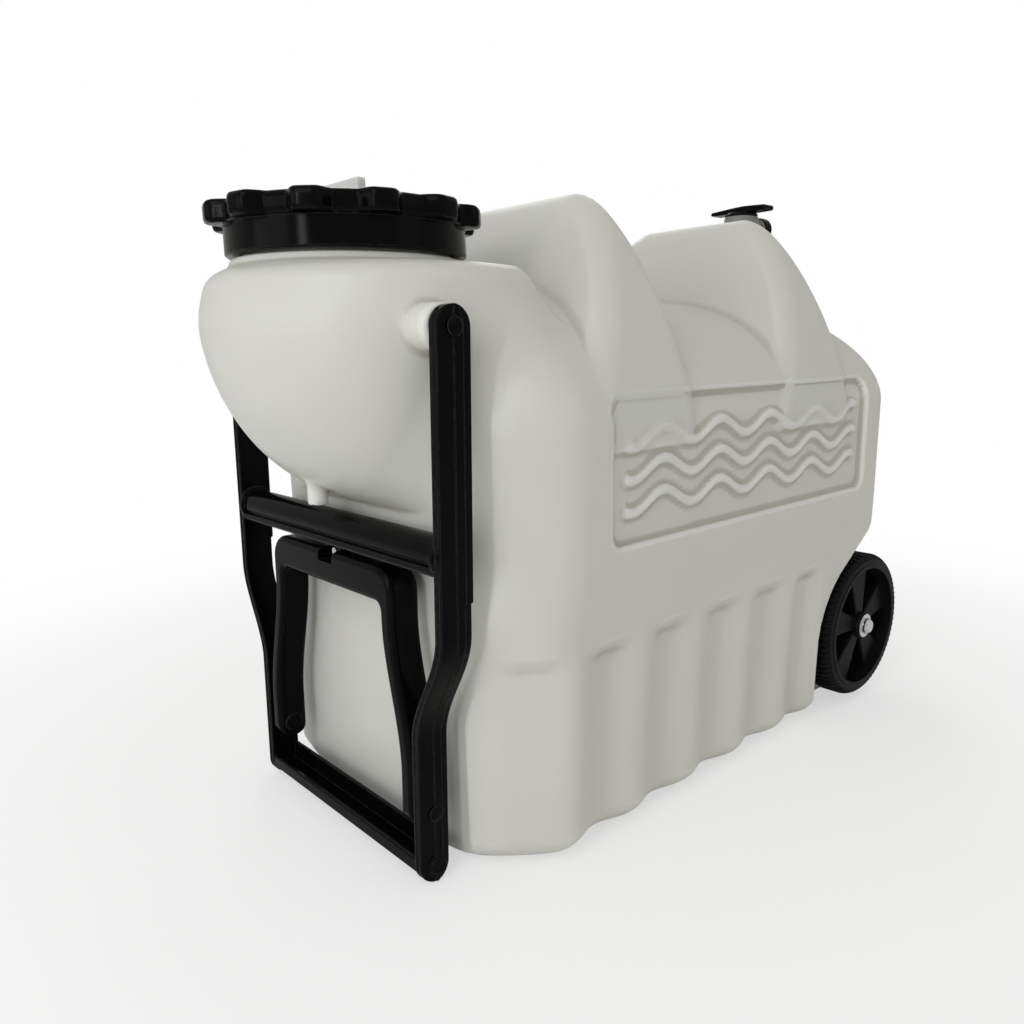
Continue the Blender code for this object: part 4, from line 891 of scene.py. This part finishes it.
def make_handle_frame():
    """Both arms joined by the crossbar with its tab and by the lower bar, and drilled for the pins."""
    half = ARM_OUTER - ARM_THICKNESS + OVERLAP
    bar_half = ARM_LOWER - ARM_THICKNESS + OVERLAP
    made = make_arm(-1)
    made.name = "handle_frame_shell"
    foot = CROSSBAR_Z - TAB_DROP
    back = [(TAB_HALF_DEPTH, CROSSBAR_Z), (TAB_HALF_DEPTH, foot + TAB_EDGE)]
    back.append((TAB_HALF_DEPTH - TAB_EDGE, foot))
    tab = [(-x, z) for x, z in back] + back[::-1]
    tools = [make_arm(1), make_crossbar(half), make_lower_bar(bar_half), bar_along("tab", tab, TAB_HALF)]
    flange = (half - 0.0038, half - 0.0010)
    boss = (ARM_LOWER - OVERLAP, ARM_LOWER + END_BOSS_RISE)
    for side in (-1, 1):
        tools.append(side_bar("flange", side, flange, FLANGE_RADIUS, (CROSSBAR_SHIFT, CROSSBAR_Z)))
        tools.append(side_bar("end_boss", side, boss, END_BOSS_RADIUS, (0.0, END_BOSS_Z)))
    combine(made, tools, "UNION")
    cuts = []
    for side in (-1, 1):
        for face, radius, height in ((ARM_OUTER, PIN_HOLE, 0.0), (ARM_LOWER, GRIP_PIN_HOLE, GRIP_PIVOT_Z)):
            hole = (face - DRILL_DEPTH, face + DRILL_START)
            cuts.append(side_bar("pin_hole", side, hole, radius, (0.0, height)))
    combine(made, cuts, "DIFFERENCE")
    combine(made, [make_truss(bar_half - 0.0015)], "UNION")
    made.data.transform(HANDLE_PLACE)
    smooth_piece(made, angle=32)
    return made


handle_shell = make_handle_frame()
give(handle_shell, gloss_black)
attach(handle_shell, "handle")
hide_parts("handle_frame")

# The grip is a loop of black polypropylene, narrow at the top and flaring towards its two pivots,
# with well rounded edges where the hand holds it.

GRIP_SPREAD = 0.146
GRIP_TOP_SPREAD = 0.119
GRIP_LENGTH = 0.1172
GRIP_BAR = 0.010
GRIP_TOP_BAR = 0.018
GRIP_FOOT = -0.009
GRIP_STRAIGHT_TOP = GRIP_LENGTH - 0.024
GRIP_SECTIONS = 30
GRIP_FLARE_START = 0.018
GRIP_FLARE_LENGTH = 0.075
GRIP_CORNER = 0.013
GRIP_INNER_CORNER = 0.0045
GRIP_HALF_DEPTH = 0.0087
GRIP_EDGE = 0.0034
GRIP_EDGE_TURNS = (0.0, 22.5, 45.0, 67.5, 90.0)
GRIP_HOLE_DEPTH = 0.006
GRIP_BOSS_RADIUS = 0.0052
NOTCH_DEPTH = 0.0065
NOTCH_GAP = 0.0012
TRIM_MARGIN = 0.001
TRIM_REACH = 0.02


def grip_half_width(height):
    """Half width of the grip over its outer sides at a height above its pivots."""
    share = float(smooth_step((height - GRIP_FLARE_START) / GRIP_FLARE_LENGTH))
    return GRIP_SPREAD / 2 + (GRIP_TOP_SPREAD - GRIP_SPREAD) / 2 * share


def drawn_in(outline, inset):
    """Closed outline moved towards its inside."""
    count = len(outline)
    pairs = [(outline[k], outline[(k + 1) % count]) for k in range(count)]
    area = sum(first[0] * second[1] - second[0] * first[1] for first, second in pairs)
    shift = math.copysign(inset, area)
    moved = []
    for k in range(count):
        before = outline[k - 1]
        after = outline[(k + 1) % count]
        along = (after[0] - before[0], after[1] - before[1])
        length = math.hypot(*along)
        moved.append((outline[k][0] - shift * along[1] / length, outline[k][1] + shift * along[0] / length))
    return moved


def make_grip_loop():
    """The loop, rounded at its foot round the pivots, with a notch for the tab and holes for the pins."""
    heights = [float(h) for h in np.linspace(GRIP_FOOT, GRIP_STRAIGHT_TOP, GRIP_SECTIONS)]
    top_half = GRIP_TOP_SPREAD / 2
    outer = [(grip_half_width(h), h) for h in heights]
    outer += arc(GRIP_CORNER, range(0, 91, 9), (top_half - GRIP_CORNER, GRIP_LENGTH - GRIP_CORNER))
    inner = [(grip_half_width(h) - GRIP_BAR, h) for h in heights]
    soft = GRIP_INNER_CORNER
    inner += arc(soft, range(0, 91, 18), (top_half - GRIP_BAR - soft, GRIP_LENGTH - GRIP_TOP_BAR - soft))
    outline = outer + [(-y, z) for y, z in reversed(outer)]
    outline += [(-y, z) for y, z in inner] + list(reversed(inner))
    sections = []
    for way, degrees in ((-1, GRIP_EDGE_TURNS), (1, GRIP_EDGE_TURNS[::-1])):
        for turn in [math.radians(angle) for angle in degrees]:
            x = way * (GRIP_HALF_DEPTH - GRIP_EDGE * (1.0 - math.cos(turn)))
            narrowed = drawn_in(outline, GRIP_EDGE * (1.0 - math.sin(turn)))
            sections.append([(x, y, z) for y, z in narrowed])
    made = closed_mesh("grip_loop_shell", sections)

    past = GRIP_HALF_DEPTH + TRIM_MARGIN
    above = GRIP_LENGTH + DRILL_START
    side_view = [(-past, above), (-past, 0.0), (-GRIP_HALF_DEPTH, 0.0)]
    side_view += arc(GRIP_HALF_DEPTH, range(190, 351, 10))
    side_view += [(GRIP_HALF_DEPTH, 0.0), (past, 0.0), (past, above)]
    combine(made, [bar_along("side_view", side_view, GRIP_SPREAD)], "INTERSECT")
    low = GRIP_LENGTH - NOTCH_DEPTH
    notch = [(-TRIM_REACH, low), (TRIM_REACH, low), (TRIM_REACH, above), (-TRIM_REACH, above)]
    combine(made, [bar_along("notch", notch, TAB_HALF + NOTCH_GAP)], "DIFFERENCE")
    hole = (GRIP_SPREAD / 2 - GRIP_HOLE_DEPTH, GRIP_SPREAD / 2 + DRILL_START)
    cuts = [side_bar("pin_hole", side, hole, GRIP_PIN_HOLE, (0.0, 0.0)) for side in (-1, 1)]
    combine(made, cuts, "DIFFERENCE")
    inner_face = GRIP_SPREAD / 2 - GRIP_BAR
    boss = (inner_face - 0.0008, inner_face + 0.002)
    bosses = [side_bar("boss", side, boss, GRIP_BOSS_RADIUS, (0.0, 0.0)) for side in (-1, 1)]
    combine(made, bosses, "UNION")
    made.data.transform(HANDLE_PLACE @ Matrix.Translation((0.0, 0.0, GRIP_PIVOT_Z)))
    smooth_piece(made, angle=30)
    return made


grip_shell = make_grip_loop()
give(grip_shell, gloss_black)
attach(grip_shell, "grip")
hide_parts("grip_loop")

# The pins that hold the handle on the tank and the grip on the handle are turned black plastic rods
# with thin domed heads, which lie almost flush on the arms' outer faces.

PIN_HEAD_RADIUS = 0.0042
PIN_HEAD_RISE = 0.0006
PIN_GAP = 0.0001
PIN_CHAMFER = 0.0005


def make_pin(name, node, side, face, shank):
    """Pin along Y, from the inner end of its solid in the frame to a thin head on the arm's face."""
    low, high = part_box(node)
    inner = min(abs(low.y), abs(high.y))
    head = face + PIN_GAP
    outline = [(inner, shank - PIN_CHAMFER), (inner + PIN_CHAMFER, shank), (head, shank)]
    outline.append((head, PIN_HEAD_RADIUS))
    for turn in [math.radians(angle) for angle in (15, 40, 65, 85)]:
        outline.append((head + PIN_HEAD_RISE * math.sin(turn), PIN_HEAD_RADIUS * math.cos(turn)))
    middle = ((low.x + high.x) / 2, (low.z + high.z) / 2)
    made = turned(name, [(side * distance, radius) for distance, radius in outline], middle)
    smooth_piece(made, angle=35)
    give(made, gloss_black)
    return made


for side_word, side in (("left", -1), ("right", 1)):
    for pin_name, pin_body, face, shank in (
        ("handle_pin_", "tank", ARM_OUTER, 0.0030),
        ("grip_pin_", "handle", ARM_LOWER, 0.0025),
    ):
        node = pin_name + side_word
        pin = make_pin(node + "_shell", node, side, face, shank)
        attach(pin, pin_body)
        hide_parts(node)

# Each wheel is one moulding in black plastic that turns on the axle, with a finely ribbed round tread,
# a narrow ring at its side and five wedge-shaped spokes in front of a thin web.

WHEEL_RADIUS = 0.0515
WHEEL_WIDTH = 0.0235
TRACK_HALF = 0.124
TREAD_RIBS = 72
TREAD_DEPTH = 0.0019
TREAD_STEEPNESS = 1.6
TREAD_RINGS = ((0.0032, 0.3, 0.0008), (0.0020, 0.7, 0.0018), (0.0008, 1.0, 0.0034), (0.0001, 1.0, 0.0056))
STEPS_PER_RIB = 8
SIDE_RING = WHEEL_RADIUS - 0.0072
DISH_RADIUS = SIDE_RING - 0.0030
WEB_BACK = -0.0055
WEB_FRONT = -0.0025
SPOKES = 5
SPOKE_ANGLE = 22.0
SPOKE_ROOT = 0.0070
SPOKE_END = DISH_RADIUS + 0.0010
SPOKE_NARROW = 0.0040
SPOKE_WIDE = 0.0122
SPOKE_RISE = 0.0018
SPOKE_LEVELS = ((-0.0040, 0.0), (0.0048, 0.0), (0.0056, 0.0008))
HUB_RADIUS = 0.0095
AXLE_HOLE = 0.0043


def tread_reach(base, depth):
    """Radius of a tread ring, with a rib and a gap in turn."""
    return lambda angle: base - depth * smooth_step(0.5 + TREAD_STEEPNESS * math.cos(TREAD_RIBS * angle))


def make_wheel(name, side):
    """Wheel with its outer side facing away from the tank."""
    half = WHEEL_WIDTH / 2
    tread = []
    for drop, share, inset in TREAD_RINGS:
        tread.append((tread_reach(WHEEL_RADIUS - drop, TREAD_DEPTH * share), half - inset))
    rings = [(SIDE_RING + 0.0008, half - 0.0007), (WHEEL_RADIUS - 0.0052, half - 0.0006), *tread]
    rings += [(reach, -level) for reach, level in reversed(tread)]
    rings += [
        (SIDE_RING + 0.0008, -half + 0.0007),
        (SIDE_RING, -half),
        (DISH_RADIUS + 0.0004, -half),
        (DISH_RADIUS, -half + 0.0006),
        (DISH_RADIUS, WEB_BACK),
        (HUB_RADIUS + 0.0002, WEB_BACK),
        (HUB_RADIUS, -half + 0.0012),
        (HUB_RADIUS - 0.0008, -half + 0.0004),
        (AXLE_HOLE, -half + 0.0004),
        (AXLE_HOLE, half - 0.0010),
        (HUB_RADIUS - 0.0010, half - 0.0010),
        (HUB_RADIUS - 0.0002, half - 0.0018),
        (HUB_RADIUS + 0.0004, WEB_FRONT),
        (DISH_RADIUS, WEB_FRONT),
        (DISH_RADIUS, half - 0.0006),
        (DISH_RADIUS + 0.0004, half),
        (SIDE_RING, half),
    ]
    made = revolved(name, rings, TREAD_RIBS * STEPS_PER_RIB)
    spokes = []
    for index in range(SPOKES):
        turn = Matrix.Rotation(math.radians(SPOKE_ANGLE + 360.0 * index / SPOKES), 3, "Z")
        sections = []
        for level, inset in SPOKE_LEVELS:
            narrow = SPOKE_NARROW - inset
            wide = SPOKE_WIDE - inset
            root_level = level + SPOKE_RISE if level > 0 else level
            section = [(SPOKE_ROOT, -narrow, root_level), (SPOKE_END, -wide, level)]
            section += [(SPOKE_END, wide, level), (SPOKE_ROOT, narrow, root_level)]
            sections.append([turn @ Vector(point) for point in section])
        spokes.append(closed_mesh("spoke", sections))
    combine(made, spokes, "UNION")
    made.data.transform(Matrix.Rotation(-side * math.pi / 2, 4, "X"))
    made.data.transform(Matrix.Translation((WHEEL_X, side * (TRACK_HALF - half), WHEEL_Z)))
    smooth_piece(made, angle=35)
    return made


tyre_black = plastic(
    "tyre_black_plastic",
    colour=(0.0030, 0.0030, 0.0034),
    cloud=(0.0065, 0.0065, 0.0070),
    roughness=0.46,
    spread=0.16,
    bump=(0.35, 0.0006),
    scales=(50.0, 1300.0, 140.0),
    wave_share=0.40,
    edge_scuff_and_highlight_colour=(0.022, 0.022, 0.023),
    edge_radius=0.0006,
)
feed_shader(tyre_black, {"Specular IOR Level": 0.10})

for wheel_name, wheel_body, wheel_side in (("wheel_left", "wheel_l", -1), ("wheel_right", "wheel_r", 1)):
    wheel = make_wheel(wheel_name + "_shell", wheel_side)
    give(wheel, tyre_black)
    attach(wheel, wheel_body)
    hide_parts(wheel_name)

# The other pieces keep their solids from the frame and take finishes of their own: pale and grey
# mouldings, rubber rings and zinc-plated steel.

pale = plastic(
    "natural_polyethylene",
    colour=(0.700, 0.700, 0.690),
    cloud=(0.760, 0.760, 0.750),
    roughness=0.36,
    spread=0.12,
    bump=(0.25, 0.0006),
    scales=(60.0, 1400.0, 150.0),
    wave_share=0.50,
    edge_scuff_and_highlight_colour=(0.820, 0.820, 0.810),
    edge_radius=0.0006,
)
feed_shader(
    pale,
    {"Subsurface Weight": 0.3, "Subsurface Radius": (1.0, 0.95, 0.90), "Subsurface Scale": 0.006},
)
grey = plastic(
    "grey_acetal",
    colour=(0.200, 0.198, 0.190),
    cloud=(0.240, 0.238, 0.230),
    roughness=0.40,
    spread=0.12,
    bump=(0.25, 0.0005),
    scales=(60.0, 1500.0, 160.0),
    wave_share=0.50,
    edge_scuff_and_highlight_colour=(0.330, 0.328, 0.320),
    edge_radius=0.0006,
)
rubber = plastic(
    "seal_rubber",
    colour=(0.020, 0.020, 0.021),
    cloud=(0.034, 0.034, 0.035),
    roughness=0.72,
    spread=0.16,
    bump=(0.40, 0.0006),
    scales=(80.0, 1800.0, 200.0),
    wave_share=0.30,
    edge_scuff_and_highlight_colour=(0.060, 0.060, 0.062),
    edge_radius=0.0005,
)

TARNISH_SCALE = 160.0
TARNISH_SPREAD = 0.18
MARK_STRENGTH = 0.12
MARK_DEPTH = 0.0002


def plated(name, colour, dull, roughness, mark_scale):
    """Plated steel: slow tarnish in the colour and fine turning marks in the relief."""
    made = bpy.data.materials.new(name)
    made.use_nodes = True
    tree = made.node_tree
    place = add_node(tree, "ShaderNodeTexCoord").outputs["Object"]
    tarnish = noise(tree, place, TARNISH_SCALE, detail=4.0)
    mixed = between(tree, "RGBA", tarnish, (*colour, 1.0), (*dull, 1.0))
    rough = result_of(tree, "MULTIPLY_ADD", tarnish, TARNISH_SPREAD, roughness)
    values = {"Vector": place, "Scale": mark_scale, "Distortion": 2.0, "Detail": 2.0}
    marks = add_node(tree, "ShaderNodeTexWave", values, wave_type="RINGS", rings_direction="Y")
    values = {"Height": marks.outputs["Fac"], "Strength": MARK_STRENGTH, "Distance": MARK_DEPTH}
    relief = add_node(tree, "ShaderNodeBump", values).outputs["Normal"]
    feed_shader(made, {"Metallic": 1.0, "Base Color": mixed, "Roughness": rough, "Normal": relief})
    return made


zinc = plated(
    "zinc_plated_steel",
    colour=(0.58, 0.58, 0.60),
    dull=(0.44, 0.44, 0.45),
    roughness=0.24,
    mark_scale=900.0,
)
bright = plated(
    "bright_plated_steel",
    colour=(0.80, 0.80, 0.80),
    dull=(0.62, 0.62, 0.62),
    roughness=0.10,
    mark_scale=1200.0,
)

finishes = {
    "black_plastic": gloss_black,
    "pale_plastic": pale,
    "grey_plastic": grey,
    "seal_rubber": rubber,
    "axle_steel": zinc,
    "bright_steel": bright,
    "milky_polyethylene": milky,
}
for row in frame["record"]["subparts"]:
    give(frame["nodes"][row["node"]], finishes[row["material_slot"]])

# The stage is a plain pale floor that fades into a white backdrop, with soft lamps on the handle's
# side, a narrow strip that draws highlights on the black pieces, weak fills and the photograph's camera.

FLOOR_HALF = 6.0
FLOOR_COLOUR = (0.92, 0.92, 0.92, 1.0)
FLOOR_ROUGHNESS = 0.75
GLOW_START = 0.15
GLOW_END = 0.75
GLOW_LEAST = 0.55
WORLD_COLOUR = (1.0, 0.985, 0.95, 1.0)
WORLD_STRENGTH = 0.49
WHITE = (1.0, 1.0, 1.0, 1.0)


def seen_by_camera(tree):
    """1 for what the camera sees, directly or through something clear."""
    path = add_node(tree, "ShaderNodeLightPath").outputs
    return result_of(tree, "MAXIMUM", path["Is Camera Ray"], path["Is Transmission Ray"])


def show_mixed(tree, share, first, second, output):
    """Send two shaders to the output, mixed by the second one's share."""
    values = {"Fac": share, 1: first.outputs[0], 2: second.outputs[0]}
    mixed = add_node(tree, "ShaderNodeMixShader", values).outputs[0]
    feed(tree, tree.nodes[output], {"Surface": mixed})


def make_floor():
    """Pale floor that shows the object's shadow and fades to plain white further out."""
    mesh = bpy.data.meshes.new("floor")
    corners = [(x * FLOOR_HALF, y * FLOOR_HALF, 0) for x, y in ((-1, -1), (1, -1), (1, 1), (-1, 1))]
    mesh.from_pydata(corners, [], [(0, 1, 2, 3)])
    floor = put_in_scene("floor", mesh)
    paint = bpy.data.materials.new("pale_floor")
    paint.use_nodes = True
    feed_shader(paint, {"Base Color": FLOOR_COLOUR, "Roughness": FLOOR_ROUGHNESS})
    tree = paint.node_tree
    place = add_node(tree, "ShaderNodeTexCoord").outputs["Object"]
    away = add_node(tree, "ShaderNodeVectorMath", {0: place}, operation="LENGTH").outputs["Value"]
    far = ramp(tree, away, GLOW_START, GLOW_END, low=GLOW_LEAST, interpolation_type="SMOOTHSTEP")
    share = result_of(tree, "MULTIPLY", seen_by_camera(tree), far)
    glow = add_node(tree, "ShaderNodeEmission")
    show_mixed(tree, share, tree.nodes["Principled BSDF"], glow, "Material Output")
    give(floor, paint)


def make_backdrop():
    """World that lights the object softly and shows as plain white behind it."""
    world = bpy.data.worlds.new("studio")
    bpy.context.scene.world = world
    world.use_nodes = True
    tree = world.node_tree
    light = tree.nodes["Background"]
    feed(tree, light, {"Color": WORLD_COLOUR, "Strength": WORLD_STRENGTH})
    white = add_node(tree, "ShaderNodeBackground", {"Color": WHITE})
    show_mixed(tree, seen_by_camera(tree), light, white, "World Output")


make_floor()
make_backdrop()

LAMP_TARGET = (0.0, 0.0, 0.15)
COOL = (0.95, 0.985, 1.0)
WARM = (1.0, 0.97, 0.92)
PLAIN = (1.0, 1.0, 1.0)


def make_lamp(name, place, target, size, power, colour):
    """Soft rectangular lamp that faces its target."""
    data = bpy.data.lights.new(name, "AREA")
    data.shape = "RECTANGLE"
    data.size, data.size_y = size
    data.energy = power
    data.color = colour
    lamp = put_in_scene(name, data)
    lamp.location = place
    lamp.rotation_euler = (Vector(target) - lamp.location).to_track_quat("-Z", "Y").to_euler()


make_lamp("key", (-1.5, -0.6, 1.5), LAMP_TARGET, size=(1.2, 1.2), power=10.0, colour=COOL)
make_lamp("front", (-1.9, 0.4, 0.6), LAMP_TARGET, size=(1.2, 0.8), power=3.6, colour=COOL)
make_lamp("side", (0.8, -1.9, 1.1), LAMP_TARGET, size=(0.9, 1.4), power=1.5, colour=WARM)
make_lamp("strip", (-1.30, -0.40, 0.45), (-0.15, 0.0, 0.25), size=(0.08, 0.60), power=2.0, colour=PLAIN)
make_lamp("rear", (1.2, 1.6, 1.4), LAMP_TARGET, size=(1.2, 1.0), power=6.0, colour=PLAIN)

IMAGE_SIZE = 1024
CAMERA_PLACE = (-0.37888, -0.37996, 0.25302)
CAMERA_YAW = 43.512
CAMERA_PITCH = 13.235
CAMERA_ROLL = 0.885
FOCAL_PIXELS = 832.169
VIEW_CENTRE = (551.520, 542.988)

camera_data = bpy.data.cameras.new("camera")
camera_data.sensor_width = 36.0
camera_data.lens = FOCAL_PIXELS / IMAGE_SIZE * camera_data.sensor_width
camera_data.shift_x = (IMAGE_SIZE / 2 - VIEW_CENTRE[0]) / IMAGE_SIZE
camera_data.shift_y = (VIEW_CENTRE[1] - IMAGE_SIZE / 2) / IMAGE_SIZE
camera = put_in_scene("camera", camera_data)
camera.matrix_world = (
    Matrix.Translation(CAMERA_PLACE)
    @ Matrix.Rotation(math.radians(-CAMERA_YAW), 4, "Z")
    @ Matrix.Rotation(math.radians(90.0 - CAMERA_PITCH), 4, "X")
    @ Matrix.Rotation(math.radians(-CAMERA_ROLL), 4, "Z")
)
bpy.context.scene.camera = camera
bpy.context.scene.view_settings.view_transform = "Standard"

bpy.context.view_layer.update()
